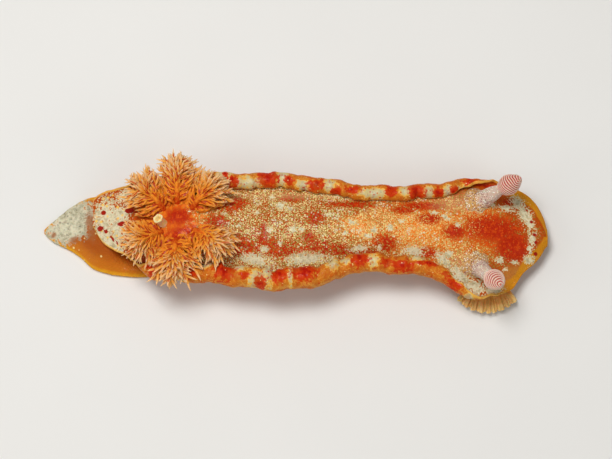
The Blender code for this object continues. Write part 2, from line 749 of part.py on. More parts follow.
def stalk_outline(grow=0.0):
    """The half outline of a rhinophore's stalk, or of the opening that it comes out of."""
    wide, narrow = STALK_RADII[0] + grow, STALK_RADII[1] + grow
    return (
        (0, STALK_LENGTH), (narrow, STALK_LENGTH), (narrow * 1.05, STALK_LENGTH * 0.6),
        (wide * 0.9, STALK_LENGTH * 0.2), (wide, -STALK_SUNK), (0, -STALK_SUNK),
    )


def sheath_outline():
    """The half outline of the collar, before the stalk's opening is cut."""
    rim = STALK_RADII[0] + GAP + SHEATH_WALL
    return (
        (0, SHEATH_HEIGHT), (rim - 0.2 * MM, SHEATH_HEIGHT), (rim, SHEATH_HEIGHT * 0.7),
        (rim + 0.1 * MM, -STALK_SUNK / 2), (0, -STALK_SUNK / 2),
    )


def make_rhinophore(side):
    """One rhinophore: the collar round its base, its stalk and its club."""
    foot, lean, name = RHINOPHORE_FOOT[side], RHINOPHORE_LEAN[side], SIDE_NAMES[side]
    base = Vector((foot.x, foot.y, back_height(foot.x, foot.y)))
    sheath = turned(f"rhinophore_{name}_sheath", sheath_outline(), RHINOPHORE_STEPS + 4)
    place_along(sheath, base, (lean + Vector((0, 0, 1))).normalized())
    opening = turned("opening", stalk_outline(GAP), RHINOPHORE_STEPS)
    place_along(opening, base, lean)
    cut_away(sheath, opening)
    stalk = turned(f"rhinophore_{name}_stalk", stalk_outline(), RHINOPHORE_STEPS)
    place_along(stalk, base, lean)
    for node in (stalk, sheath):
        cut_away(node, clearance_block(foot.x - SHEATH_BLOCK, foot.x + SHEATH_BLOCK))
        finish(node, "rhinophore")
    club = turned(f"rhinophore_{name}_club", club_outline(), RHINOPHORE_STEPS)
    place_along(club, base + lean * (STALK_LENGTH + GAP), lean)
    finish(club, "rhinophore", smooth=20)


def make_tentacle(side):
    """One oral tentacle: a thin fan with lobes along its edge, spread out beside the mouth."""
    length = TENTACLE_LENGTH[side]
    width = TENTACLE_ROOT_WIDTH / 2
    outline = [(-TENTACLE_SUNK, width), (-TENTACLE_SUNK, -width)]
    steps = 4 * TENTACLE_LOBES
    for step in range(steps + 1):
        share = step / steps
        angle = TENTACLE_SPREAD * (share - 0.5)
        notch = 0.5 + 0.5 * math.cos(2 * math.pi * TENTACLE_LOBES * share)
        rounding = 1 - TENTACLE_ROUND * (1 - math.sin(math.pi * share))
        reach = length * (1 - TENTACLE_NOTCH * notch) * rounding
        outline.append((reach * math.cos(angle), width * (2 * share - 1) + reach * math.sin(angle)))
    curve = bpy.data.curves.new("fan", "CURVE")
    curve.dimensions = "2D"
    curve.fill_mode = "BOTH"
    curve.extrude = TENTACLE_THICK / 2
    spline = curve.splines.new("POLY")
    spline.points.add(len(outline) - 1)
    for point, (out, aside) in zip(spline.points, outline):
        point.co = (out, aside, 0, 1)
    spline.use_cyclic_u = True
    node = new_object("fan", curve)
    bpy.context.view_layer.update()
    node = as_mesh(node, f"oral_tentacle_{SIDE_NAMES[side]}")
    root = Vector((TENTACLE_X, side * along(FLANK[side], TENTACLE_X), TENTACLE_HEIGHT))
    turn = Matrix.Rotation(side * math.pi / 2, 4, "Z") @ Matrix.Rotation(TENTACLE_TILT, 4, "Y")
    node.data.transform(Matrix.Translation(root) @ turn)
    cut_away(node, clearance_block(TENTACLE_X - TENTACLE_ROOT_WIDTH * 2, TRUNK_FRONT))
    finish(node, "tentacle")


def make_mouth():
    """The round lips under the front of the mantle, drawn in at their middle."""
    wide, deep = MOUTH_RADIUS, MOUTH_DEPTH
    outline = (
        (0, deep * 0.3), (wide * 0.25, deep * 0.45), (wide * 0.5, deep), (wide * 0.8, deep * 0.85),
        (wide, deep * 0.3), (wide, 0), (0, 0),
    )
    node = turned("mouth", outline, 16)
    place_along(node, Vector((TRUNK_FRONT + GAP / 2, 0, MOUTH_HEIGHT)), Vector((1, 0, 0)))
    squash = Matrix.Diagonal((1, 1, MOUTH_SQUASH, 1))
    middle = Matrix.Translation((0, 0, MOUTH_HEIGHT))
    node.data.transform(middle @ squash @ middle.inverted())
    finish(node, "skin")


def main():
    """Clears the scene and makes every part of the slug."""
    for obj in list(bpy.data.objects):
        bpy.data.objects.remove(obj)
    slug = bpy.data.collections.new("sea_slug")
    bpy.context.scene.collection.children.link(slug)
    make_foot()
    make_trunk()
    make_mantle()
    for index in range(len(GILL_BEARINGS)):
        Gill(index).make()
    make_papilla()
    for side in (LEFT, RIGHT):
        make_rhinophore(side)
        make_tentacle(side)
    make_mouth()


main()
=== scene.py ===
"""The looks of a Spanish dancer sea slug that crawls with the edge of its mantle rolled up.

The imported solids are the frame. One skin stands for all their flesh, and the gills, rhinophores,
mouth and oral tentacles are built finer over their own solids. Lengths are in metres: +X is the way
the slug crawls, +Y its left side and the floor is at Z = 0.
"""

from __future__ import annotations

import logging
import math
import random
from dataclasses import dataclass
from dataclasses import field
from enum import Enum
from typing import Any
from typing import Callable
from typing import Iterable
from typing import Sequence

import bpy
import numpy as np
from mathutils import Matrix
from mathutils import Vector
from mathutils import noise
from mathutils.kdtree import KDTree

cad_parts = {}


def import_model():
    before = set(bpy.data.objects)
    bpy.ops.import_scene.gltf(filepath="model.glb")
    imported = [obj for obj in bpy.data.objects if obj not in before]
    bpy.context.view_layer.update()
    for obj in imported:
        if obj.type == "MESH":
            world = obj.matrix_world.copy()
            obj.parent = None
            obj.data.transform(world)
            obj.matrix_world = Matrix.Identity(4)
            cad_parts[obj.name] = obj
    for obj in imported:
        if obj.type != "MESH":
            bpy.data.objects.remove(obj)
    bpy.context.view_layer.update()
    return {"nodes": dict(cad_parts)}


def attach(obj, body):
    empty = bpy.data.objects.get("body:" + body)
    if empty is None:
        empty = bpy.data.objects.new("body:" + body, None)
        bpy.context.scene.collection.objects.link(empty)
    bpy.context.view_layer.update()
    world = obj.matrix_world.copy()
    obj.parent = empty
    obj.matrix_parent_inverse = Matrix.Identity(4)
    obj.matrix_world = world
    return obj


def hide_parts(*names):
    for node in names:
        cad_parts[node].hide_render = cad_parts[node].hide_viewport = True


MM = 0.001
WELD = 0.002 * MM
BODY = "root"
LOG = logging.getLogger("sea_slug")


class Side(Enum):
    """A side of the body. The value is the sign of Y there."""

    LEFT = 1
    RIGHT = -1


class Mark(Enum):
    """A kind of marking on the skin, each kept as a number at every point of it."""

    RED = "red"
    WHITE = "white"
    DOT = "dot"
    SPECK = "speck"
    # Haze, partly painted shade: a long band in the furrow under the left roll and a band under the mantle's
    # rear lip.
    HAZE = "haze"
    TAN = "tan"
    GLOW = "glow"


# Curves through named sizes


@dataclass(frozen=True)
class Profile:
    """A smooth curve through (place, size) pairs that doesn't overshoot them."""

    points: tuple[tuple[float, float], ...]

    def at(self, x: float) -> float:
        """The size at one place.

        Args:
            x: the place, in the pairs' own units.

        Returns:
            The size there, or the nearest end's size beyond the ends.
        """
        points = self.points
        if x <= points[0][0]:
            return points[0][1]
        if x >= points[-1][0]:
            return points[-1][1]
        rises = [(b[1] - a[1]) / (b[0] - a[0]) for a, b in zip(points, points[1:])]

        def slope(index: int) -> float:
            """The curve's slope at one of its points."""
            before, after = rises[max(index - 1, 0)], rises[min(index, len(rises) - 1)]
            return 0.0 if before * after <= 0 else 2 * before * after / (before + after)

        i = max(k for k in range(len(rises)) if points[k][0] <= x)
        (x0, v0), (x1, v1) = points[i], points[i + 1]
        span = x1 - x0
        t = (x - x0) / span
        bend = span * t * (1 - t) * (slope(i) * (1 - t) - slope(i + 1) * t)
        return v0 * (1 + 2 * t) * (1 - t) ** 2 + v1 * t * t * (3 - 2 * t) + bend


def lengths(*pairs: tuple[float, float]) -> Profile:
    """A profile from pairs in millimetres."""
    return Profile(tuple((x * MM, size * MM) for x, size in pairs))


def turns(*pairs: tuple[float, float]) -> Profile:
    """A profile from pairs of a place in millimetres and an angle in degrees."""
    return Profile(tuple((x * MM, math.radians(angle)) for x, angle in pairs))


def smooth_step(value: np.ndarray | float, low: float, high: float) -> np.ndarray | float:
    """Rises smoothly from 0 at low to 1 at high."""
    share = np.clip((value - low) / (high - low), 0.0, 1.0)
    return share * share * (3 - 2 * share)


def ripple(x: float, length: float, seed: float) -> float:
    """An uneven wave between about -1 and 1, of about that wavelength."""
    turn = 2 * math.pi * x / length
    return 0.6 * math.sin(turn + seed) + 0.4 * math.sin(1.618 * turn + 2.3 * seed + 1)


# The form of the body


@dataclass(frozen=True)
class BothSides:
    """A profile for each side of the body."""

    left: Profile
    right: Profile

    def on(self, side: Side) -> Profile:
        """The profile on one side."""
        return self.left if side is Side.LEFT else self.right


@dataclass(frozen=True)
class Sheet:
    """Half of the mantle's free skirt at one place along X, from its root to its edge."""

    upper: np.ndarray
    lower: np.ndarray
    tip: np.ndarray
    from_edge: np.ndarray


@dataclass(frozen=True)
class BodyForm:
    """The sizes of the back, mantle, foot and tail, and the cross-sections that follow from them."""

    gap: float = 0.3 * MM
    tail_tip: float = -60.6 * MM
    mantle_rear: float = -48.6 * MM
    trunk_rear: float = -44 * MM
    trunk_front: float = 54 * MM
    mantle_front: float = 59.85 * MM
    foot_front: float = 47 * MM
    middle: Profile = lengths((-48.6, 4.8), (-44, 3), (-38, 1.2), (-32, 0.3), (-26, 0))
    edge: BothSides = BothSides(
        lengths(
            (-48.6, 9.9), (-47.2, 11.1), (-44.8, 12), (-40, 12.7), (-33, 14.2), (-18, 14.6),
            (-8, 14.3), (-4, 15), (0.5, 13.7), (5.6, 13.4), (10.3, 12.5), (15, 11.4), (24.5, 11.5),
            (34, 12.5), (43.6, 14), (48.3, 13.7), (53.9, 11.8), (56.2, 10.1), (58.2, 7.2),
            (59.3, 4.6), (59.85, 1.6),
        ),
        lengths(
            (-48.6, -2.6), (-46.3, 1.2), (-44.8, 2.5), (-40.4, 5.2), (-38, 7.6), (-35.5, 10.1),
            (-33, 11.4), (-18, 13), (-4, 14.5), (4, 13.7), (9, 12.2), (14, 10), (20, 10.1),
            (31.7, 11), (36.5, 13.8), (38.8, 15.2), (42.5, 15.8), (46, 15.2), (51.2, 12.7),
            (53.8, 9), (56.9, 6.2), (58.5, 4.1), (59.85, 1.3),
        ),
    )
    root: BothSides = BothSides(
        lengths((-44, 5.6), (-36, 8.2), (-25, 9.6), (0, 9.4), (12, 8.4), (22, 7.7), (34, 8),
                (43, 11.2), (54, 6)),
        lengths((-44, 3.2), (-36, 5.6), (-25, 7), (0, 7.4), (12, 5), (22, 4.6), (34, 6.6),
                (43, 11.4), (54, 6)),
    )
    flank: BothSides = BothSides(
        lengths((-44, 5), (-25, 9.1), (0, 8.9), (22, 7.2), (34, 7.2), (43, 7.6), (54, 4.4)),
        lengths((-44, 3), (-25, 6.6), (0, 7), (22, 4.4), (34, 5.8), (43, 7.6), (54, 4.4)),
    )
    roll_radius: BothSides = BothSides(
        lengths((-46, 1), (-36, 1.7), (0, 1.75), (34, 1.55), (43, 1.2), (56, 1.5)),
        lengths((-44, 0.9), (-36, 1.8), (-18, 2.3), (0, 2.6), (14, 2.2), (28, 2.1), (36, 1.9),
                (43, 1.6), (56, 2)),
    )
    roll_turn: BothSides = BothSides(
        turns((-48, 25), (-44, 60), (-40, 130), (-34, 275), (-28, 302), (34, 302), (41, 225),
              (50, 60), (55, 20)),
        turns((-48, 12), (-42, 40), (-38, 120), (-33, 265), (-26, 275), (32, 288), (38, 220),
              (44, 115), (51, 40), (55, 12)),
    )
    roll_tighter: float = 0.2
    edge_wave: float = 0.25 * MM
    edge_wave_length: float = 9.5 * MM
    knobs: float = 0.13 * MM
    knob_length: float = 3.7 * MM
    droop: float = math.radians(16)
    skirt_least: float = 2.6 * MM
    skirt_thick: float = 1.1 * MM
    edge_thick: float = 0.6 * MM
    frill: float = 0.13 * MM
    frill_length: float = 3.1 * MM
    frill_reach: float = 2.6 * MM
    turn_waver: float = 0.05
    turn_waver_length: float = 7.5 * MM
    swells: tuple[tuple[float, float, int], ...] = ((0.07, 5.3 * MM, 2), (0.05, 2.7 * MM, 1))
    even_reach: float = 1.5 * MM
    even_rounds: int = 3
    edge_height: Profile = lengths((-48.6, 4.9), (-44, 5.8), (-36, 8.2), (-25, 10.2), (0, 10.4),
                                   (20, 9.8), (38, 8.4), (46, 7), (54, 5.6), (60, 4.6))
    dome: Profile = lengths((-48.6, 0.3), (-40, 1.2), (-25, 2.3), (0, 2.4), (30, 2.1), (45, 1.9),
                            (54, 1.2), (60, 0.4))
    neck_drop: float = 0.9 * MM
    flank_bulge: float = 0.25 * MM
    flank_foot: float = 0.86
    belly: Profile = lengths((45, 1.45), (48, 2.1), (54, 3.1))
    rounding: float = 2.2 * MM
    foot_top: float = 1.6 * MM
    foot_edge: float = 0.95 * MM
    foot_edge_share: float = 0.8
    foot_tuck: float = 0.1
    foot_rim: tuple[tuple[float, float], ...] = ((0.0, 0.55), (0.12, 0.2), (0.4, 0.0))
    sole_reach: float = 0.8
    foot: BothSides = BothSides(
        lengths((-44, 11.8), (-38, 11), (-25, 9.6), (0, 8.6), (20, 7.4), (38, 7.4)),
        lengths((-44, 8.1), (-38, 8.6), (-25, 7.8), (0, 7.2), (20, 5.6), (38, 6.6)),
    )
    foot_round: float = 38 * MM
    foot_round_power: float = 2.4
    foot_ledge: float = 1.6 * MM
    foot_steps: int = 37
    sole_steps: int = 9
    wrinkle: float = 0.14 * MM
    wrinkle_length: float = 2.4 * MM
    wrinkle_reach: float = 3 * MM
    wrinkle_from: float = 4 * MM
    tail: BothSides = BothSides(
        lengths((-60.6, 3.2), (-59.2, 4.4), (-56.8, 6.5), (-54.4, 8.5), (-52, 10), (-49.6, 11),
                (-44, 11.8)),
        lengths((-60.6, 2.2), (-59.2, 0.7), (-58, -0.2), (-54.4, -2), (-52, -3.6),
                (-48.4, -6.7), (-44, -8.1)),
    )
    tail_ridge: Profile = lengths((-60.6, 0.9), (-56, 2.1), (-50, 3.3), (-44, 4.4))
    tail_fade: tuple[float, float] = (-45 * MM, -40 * MM)
    curl_steps: int = 30
    straight_steps: int = 5
    back_steps: int = 22

    def reach_at(self, side: Side, x: float) -> float:
        """How far the mantle reaches out from its middle line on one side."""
        wave = self.edge_wave * math.sin(2 * math.pi * x / self.edge_wave_length + side.value)
        wave += self.knobs * ripple(x, self.knob_length, 4 * side.value)
        fade = min(1.0, (x - self.trunk_rear) / self.edge_wave_length,
                   (self.trunk_front - x) / self.edge_wave_length)
        out = self.edge.on(side).at(x) - side.value * self.middle.at(x)
        return out + wave * max(0.0, fade)

    def root_at(self, side: Side, x: float) -> float:
        """How far from the middle line the free skirt begins."""
        reach = self.reach_at(side, x)
        return min(self.root.on(side).at(x), max(0.5 * reach, reach - self.skirt_least))

    def back_height(self, x: float, y: float) -> float:
        """How high the back is at a place between the roots of the mantle."""
        out = y - self.middle.at(x)
        side = Side.LEFT if out > 0 else Side.RIGHT
        share = min(1.0, abs(out) / self.root_at(side, x))
        return self.edge_height.at(x) + self.skirt_thick / 2 + self.dome.at(x) * (1 - share**2)

    def roll_line(self, side: Side, x: float) -> tuple[np.ndarray, np.ndarray]:
        """The middle line of the free skirt at one place: straight first, then rolled up.

        Args:
            side: the side of the body.
            x: the place along the body.

        Returns:
            Its (out, up) points from the root to the edge, and which way it heads at each.
        """
        waver = self.turn_waver * ripple(x, self.turn_waver_length, side.value)
        turn = self.roll_turn.on(side).at(x) * (1 + waver)
        swell = sum(share * ripple(x, length, seed * side.value) for share, length, seed in self.swells)
        radius = self.roll_radius.on(side).at(x) * (1 + swell)
        steps = np.arange(self.curl_steps)
        heading = -self.droop + turn * (steps + 0.5) / self.curl_steps
        length = radius * (1 - self.roll_tighter * steps / self.curl_steps) * turn / self.curl_steps
        out, up = np.cumsum(length * np.cos(heading)), np.cumsum(length * np.sin(heading))
        start = self.root_at(side, x) + self.gap
        room = self.reach_at(side, x) - self.skirt_thick / 2 - start - max(0, out.max())
        run = np.linspace(0, max(self.gap, room / math.cos(self.droop)), self.straight_steps)
        out = np.concatenate([run * math.cos(self.droop), run[-1] * math.cos(self.droop) + out])
        up = np.concatenate([-run * math.sin(self.droop), -run[-1] * math.sin(self.droop) + up])
        heading = np.concatenate([
            np.full(self.straight_steps, -self.droop),
            -self.droop + turn * (steps + 1) / self.curl_steps,
        ])
        return np.stack([out + start, up + self.edge_height.at(x)], 1), heading

    def sheet(self, side: Side, x: float) -> Sheet:
        """Half of the free skirt at one place.

        Args:
            side: the side of the body.
            x: the place along the body.

        Returns:
            Its two faces and its tip as (y, z) points about the middle line, from the root out, and
            how far each point is from the free edge, along the sheet.
        """
        line, heading = self.roll_line(side, x)
        along = np.concatenate([[0.0], np.cumsum(np.hypot(*np.diff(line, axis=0).T))])
        from_edge = along[-1] - along
        half = (self.skirt_thick + (self.edge_thick - self.skirt_thick) * along / along[-1]) / 2
        near = np.clip(1 - from_edge / self.frill_reach, 0, 1) ** 2
        frill = self.frill * near * ripple(x, self.frill_length, 3 * side.value)
        sign = np.array([side.value, 1])
        across = np.stack([-np.sin(heading), np.cos(heading)], axis=1) * sign
        line = line * sign + across * frill[:, None]
        onward = np.array([math.cos(heading[-1]), math.sin(heading[-1])]) * sign
        tip = line[-1] + onward * self.edge_thick / 2
        return Sheet(line + across * half[:, None], line - across * half[:, None], tip, from_edge)

    def trunk_share(self, x: float) -> float:
        """How fully the trunk hangs below the mantle: 0 beyond its rounded ends, 1 between them."""
        from_end = min(x - self.trunk_rear + self.rounding, self.trunk_front - x)
        short = max(0.0, 1 - max(0.0, from_end) / self.rounding)
        return math.sqrt(1 - short * short)

    def arch(self, side: Side, x: float, rise: float) -> np.ndarray:
        """The domed line, as (y, z), from the skirt's root to the middle, raised by rise."""
        shares = np.linspace(1, 0, self.back_steps)
        height = self.edge_height.at(x) + rise + self.dome.at(x) * (1 - shares**2)
        return np.stack([side.value * self.root_at(side, x) * shares, height], 1)

    def under_trunk(self, side: Side, x: float) -> np.ndarray:
        """The flank and belly on one side.

        Args:
            side: the side of the body.
            x: the place along the body.

        Returns:
            Their (y, z) points from the skirt's root in to the middle.
        """
        roof = self.arch(side, x, -self.skirt_thick / 2)
        share = self.trunk_share(x)
        if share == 0:
            return roof
        root, height = self.root_at(side, x), self.edge_height.at(x) - self.skirt_thick / 2
        flank, neck, bottom = min(self.flank.on(side).at(x), root), height - self.neck_drop, self.belly.at(x)
        corners = np.array([
            (root, height), (flank, neck), (flank + self.flank_bulge, (neck + bottom) / 2),
            (flank * self.flank_foot, bottom), (flank * 0.5, bottom), (0, bottom),
        ])
        along = np.concatenate([[0.0], np.cumsum(np.hypot(*np.diff(corners, axis=0).T))])
        places = np.linspace(0, along[-1], self.back_steps)
        wall = np.stack([np.interp(places, along, corners[:, axis]) for axis in (0, 1)], 1)
        return roof + (wall * (side.value, 1) - roof) * share

    def mantle_ring(self, x: float) -> tuple[np.ndarray, np.ndarray]:
        """The closed outline of the mantle and trunk at one place.

        Args:
            x: the place along the body.

        Returns:
            Its (y, z) points, and for each how far it is from the free edge and whether it is on
            the under side of the mantle.
        """
        points, traits = [], []
        shares = np.linspace(1, 0, self.back_steps)[1:]
        for side in (Side.RIGHT, Side.LEFT):
            half = self.sheet(side, x)
            back = self.arch(side, x, self.skirt_thick / 2)[1:]
            below = self.under_trunk(side, x)[1:]
            inward = half.from_edge[0] + self.root_at(side, x) * (1 - shares)
            path = np.concatenate([back[::-1], half.upper, half.tip[None], half.lower[::-1], below])
            edge = np.concatenate([inward[::-1], half.from_edge, [0.0], half.from_edge[::-1], inward])
            under = np.zeros(len(path))
            under[len(back) + len(half.upper):] = 1.0
            under[len(back) + len(half.upper)] = 0.5
            trait = np.stack([edge, under], 1)
            if side is Side.LEFT:
                path, trait = path[::-1][1:], trait[::-1][1:]
            points.append(path)
            traits.append(trait)
        ring, trait = np.concatenate(points)[:-1], np.concatenate(traits)[:-1]
        evened = np.clip(trait[:, 0] / self.even_reach, 0, 1)[:, None]
        for _ in range(self.even_rounds):
            even = (np.roll(ring, 1, 0) + ring * 2 + np.roll(ring, -1, 0)) / 4
            ring = ring + (even - ring) * evened
        return ring + (self.middle.at(x), 0.0), trait

    def foot_reach(self, x: float) -> tuple[float, float]:
        """The Y of the left and right edges of the foot or tail at one place."""
        if x < self.trunk_rear:
            return self.tail.left.at(x), self.tail.right.at(x)
        short = max(0.0, x - self.foot_round) / (self.foot_front + self.gap - self.foot_round)
        narrowing = (1 - short**self.foot_round_power) ** (1 / self.foot_round_power)
        widest = min(x, self.foot_round)
        return self.foot.left.at(widest) * narrowing, -self.foot.right.at(widest) * narrowing

    def foot_ring(self, x: float) -> tuple[np.ndarray, np.ndarray]:
        """The closed outline of the foot or tail at one place.

        Args:
            x: the place along the body.

        Returns:
            Its (y, z) points and their traits, as mantle_ring gives the mantle's.
        """
        left, right = self.foot_reach(x)
        middle, half = (left + right) / 2, (left - right) / 2
        shares = np.sin(np.linspace(-1, 1, self.foot_steps) * math.pi / 2)
        edge = min(self.foot_edge, self.foot_edge_share * half)
        leaf = edge + (self.tail_ridge.at(x) - edge) * (1 - shares**2)
        inward = half * (1 - np.abs(shares))
        ledge = edge + (self.foot_top - edge) * smooth_step(inward, 0, self.foot_ledge)
        top = ledge + (leaf - ledge) * (1 - smooth_step(x, *self.tail_fade))
        near_edge = np.clip(1 - inward / self.wrinkle_reach, 0, 1) * min(1.0, half / self.wrinkle_from)
        top = top + self.wrinkle * (1 + ripple(x, self.wrinkle_length, 1.0)) * near_edge
        upper = np.stack([middle + half * shares, top], 1)
        upper[0, 0] += self.foot_tuck * edge
        upper[-1, 0] -= self.foot_tuck * edge
        rim = np.array([(half - inset * edge, height * edge) for inset, height in self.foot_rim])
        left_rim = (rim * (-1, 1) + (middle, 0))[::-1]
        across = rim[-1, 0] * np.linspace(self.sole_reach, -self.sole_reach, self.sole_steps)
        sole = np.stack([middle + across, np.zeros(self.sole_steps)], 1)
        ring = np.concatenate([upper, rim + (middle, 0), sole, left_rim])
        bare = np.zeros(len(rim))
        distance = np.concatenate([inward, bare, np.full(self.sole_steps, half), bare])
        under = (np.arange(len(ring)) >= self.foot_steps).astype(float)
        return ring, np.stack([distance, under], 1)


# Modelling


def clear_selection() -> None:
    """Leaves edit mode and deselects everything."""
    if bpy.context.object and bpy.context.object.mode != "OBJECT":
        bpy.ops.object.mode_set(mode="OBJECT")
    bpy.ops.object.select_all(action="DESELECT")


def make_active(obj: bpy.types.Object) -> None:
    """Selects one object only and makes it the active one."""
    clear_selection()
    obj.select_set(True)
    bpy.context.view_layer.objects.active = obj


def coordinates(mesh: bpy.types.Mesh) -> np.ndarray:
    """The mesh's vertices as an array of (x, y, z) rows."""
    flat = np.empty(len(mesh.vertices) * 3)
    mesh.vertices.foreach_get("co", flat)
    return flat.reshape(-1, 3)


def set_coordinates(mesh: bpy.types.Mesh, places: np.ndarray) -> None:
    """Moves the mesh's vertices to these (x, y, z) rows."""
    mesh.vertices.foreach_set("co", np.ascontiguousarray(places, dtype=float).ravel())
    mesh.update()


def set_trait(mesh: bpy.types.Mesh, name: str, values: np.ndarray) -> None:
    """Keeps one number for each vertex under a name that the finishes read."""
    layer = mesh.attributes.get(name) or mesh.attributes.new(name, "FLOAT", "POINT")
    layer.data.foreach_set("value", np.ascontiguousarray(values, dtype=np.float32))


def get_trait(mesh: bpy.types.Mesh, name: str) -> np.ndarray:
    """The numbers that set_trait kept."""
    values = np.empty(len(mesh.vertices), dtype=np.float32)
    mesh.attributes[name].data.foreach_get("value", values)
    return values


def wrapped_grid(
    name: str, rings: np.ndarray, traits: dict[str, np.ndarray], tube: bool = True
) -> bpy.types.Object:
    """A grid that is wrapped round a form and closed at its seam and ends.

    Args:
        name: the new object's name.
        rings: the form's points as (station, point round it, xyz).
        traits: numbers to keep at the vertices, each as (station, point round it).
        tube: whether the grid closes round the form; otherwise it stays an open sheet.

    Returns:
        The new object, with its faces outward.
    """
    count, around = rings.shape[:2]
    wide = around if tube else around - 1
    clear_selection()
    bpy.ops.mesh.primitive_grid_add(x_subdivisions=wide, y_subdivisions=count - 1, size=2)
    obj = bpy.context.object
    obj.name = obj.data.name = name
    grid = (coordinates(obj.data)[:, :2] + 1) / 2
    column = np.rint(grid[:, 0] * wide).astype(int) % around
    row = np.rint(grid[:, 1] * (count - 1)).astype(int)
    set_coordinates(obj.data, rings[row, column])
    for key, values in traits.items():
        set_trait(obj.data, key, values[row, column])
    bpy.ops.object.mode_set(mode="EDIT")
    bpy.ops.mesh.select_all(action="SELECT")
    bpy.ops.mesh.remove_doubles(threshold=WELD)
    if tube:
        bpy.ops.mesh.select_all(action="DESELECT")
        bpy.ops.mesh.select_mode(type="EDGE")
        bpy.ops.mesh.select_non_manifold()
        bpy.ops.mesh.fill_holes(sides=0)
        bpy.ops.mesh.select_all(action="SELECT")
        bpy.ops.mesh.normals_make_consistent(inside=False)
    bpy.ops.object.mode_set(mode="OBJECT")
    return obj


def directions(mesh: bpy.types.Mesh) -> np.ndarray:
    """The outward direction at each vertex, as (x, y, z) rows."""
    flat = np.empty(len(mesh.vertices) * 3)
    mesh.vertices.foreach_get("normal", flat)
    return flat.reshape(-1, 3)


def joined_by_boolean(obj: bpy.types.Object, other: bpy.types.Object) -> None:
    """Unites another closed solid with the object, and removes the other."""
    make_active(obj)
    modifier = obj.modifiers.new("unite", "BOOLEAN")
    modifier.operation = "UNION"
    modifier.solver = "MANIFOLD"
    modifier.object = other
    bpy.ops.object.modifier_apply(modifier=modifier.name)
    bpy.data.objects.remove(other)


def shade_smooth(obj: bpy.types.Object, crease: float = 180.0) -> None:
    """Shades the object smooth up to a crease angle in degrees."""
    make_active(obj)
    if crease >= 180:
        bpy.ops.object.shade_smooth()
    else:
        bpy.ops.object.shade_smooth_by_angle(angle=math.radians(crease))


def hoop(radius: np.ndarray | float, turn: np.ndarray, height: np.ndarray | float) -> np.ndarray:
    """A ring of points about the Z axis, at these angles and heights."""
    level = np.broadcast_to(height, turn.shape)
    return np.stack([radius * np.cos(turn), radius * np.sin(turn), level], 1)


def full_turn(columns: int) -> np.ndarray:
    """The angles of the points of a hoop."""
    return np.linspace(0, 2 * math.pi, columns, endpoint=False)


def stand(obj: bpy.types.Object, foot: Vector, lean: Vector) -> None:
    """Stands a mesh that was made along Z on a point, leaning the given way."""
    turn = lean.to_track_quat("Z", "Y").to_matrix().to_4x4()
    obj.data.transform(Matrix.Translation(foot) @ turn)


@dataclass
class Limb:
    """A straight unit rod along Z, modelled once and then bent along many paths."""

    sides: int
    rings: int
    places: np.ndarray = field(init=False)
    faces: list[tuple[int, ...]] = field(init=False)

    def __post_init__(self) -> None:
        """Models the rod, with one of its edges on top, at the greatest Y."""
        turn = full_turn(self.sides) + math.pi / 2
        hoops = [hoop(1.0, turn, height) for height in np.linspace(0, 1, self.rings + 1)]
        rod = wrapped_grid("rod", np.array(hoops), {})
        self.places = coordinates(rod.data)
        self.faces = [tuple(face.vertices) for face in rod.data.polygons]
        mesh = rod.data
        bpy.data.objects.remove(rod)
        bpy.data.meshes.remove(mesh)

    def bent(self, path: np.ndarray, radii: tuple[float, ...], flat: float = 1.0) -> np.ndarray:
        """The rod's vertices, bent along a path.

        Args:
            path: the (x, y, z) points that it follows.
            radii: its radius at even steps from its foot to its tip.
            flat: its thickness upward as a share of its width.

        Returns:
            The vertices' new places.
        """
        height = self.places[:, 2]
        steps = np.linspace(0, 1, len(path))
        centre = np.stack([np.interp(height, steps, path[:, axis]) for axis in range(3)], 1)
        ahead = np.gradient(path, axis=0)
        ahead = np.stack([np.interp(height, steps, ahead[:, axis]) for axis in range(3)], 1)
        ahead /= np.linalg.norm(ahead, axis=1, keepdims=True) + 1e-12
        aside = np.cross((0, 0, 1.0), ahead)
        level = np.linalg.norm(aside, axis=1, keepdims=True)
        aside = np.where(level > 1e-3, aside / (level + 1e-12), np.array([1.0, 0, 0]))
        above = np.cross(ahead, aside)
        radius = np.interp(height, np.linspace(0, 1, len(radii)), radii)[:, None]
        across = aside * self.places[:, :1] + above * self.places[:, 1:2] * flat
        return centre + across * radius


@dataclass
class Bundle:
    """Many copies of modelled pieces, joined in one mesh."""

    places: list[np.ndarray] = field(default_factory=list)
    faces: list[tuple[int, ...]] = field(default_factory=list)
    traits: dict[str, list[np.ndarray]] = field(default_factory=dict)
    count: int = 0

    def add(self, places: np.ndarray, faces: Iterable[tuple[int, ...]], **traits: np.ndarray) -> None:
        """Adds a copy, with the numbers that its vertices keep."""
        self.places.append(places)
        self.faces.extend(tuple(index + self.count for index in face) for face in faces)
        for name, values in traits.items():
            self.traits.setdefault(name, []).append(np.broadcast_to(values, len(places)))
        self.count += len(places)

    def build(self, name: str) -> bpy.types.Object:
        """Joins all the copies as one object.

        Args:
            name: the object's name.

        Returns:
            The new object.
        """
        mesh = bpy.data.meshes.new(name)
        mesh.from_pydata(np.concatenate(self.places).tolist(), [], self.faces)
        for trait, values in self.traits.items():
            set_trait(mesh, trait, np.concatenate(values))
        obj = bpy.data.objects.new(name, mesh)
        bpy.context.scene.collection.objects.link(obj)
        return obj


# Finishes


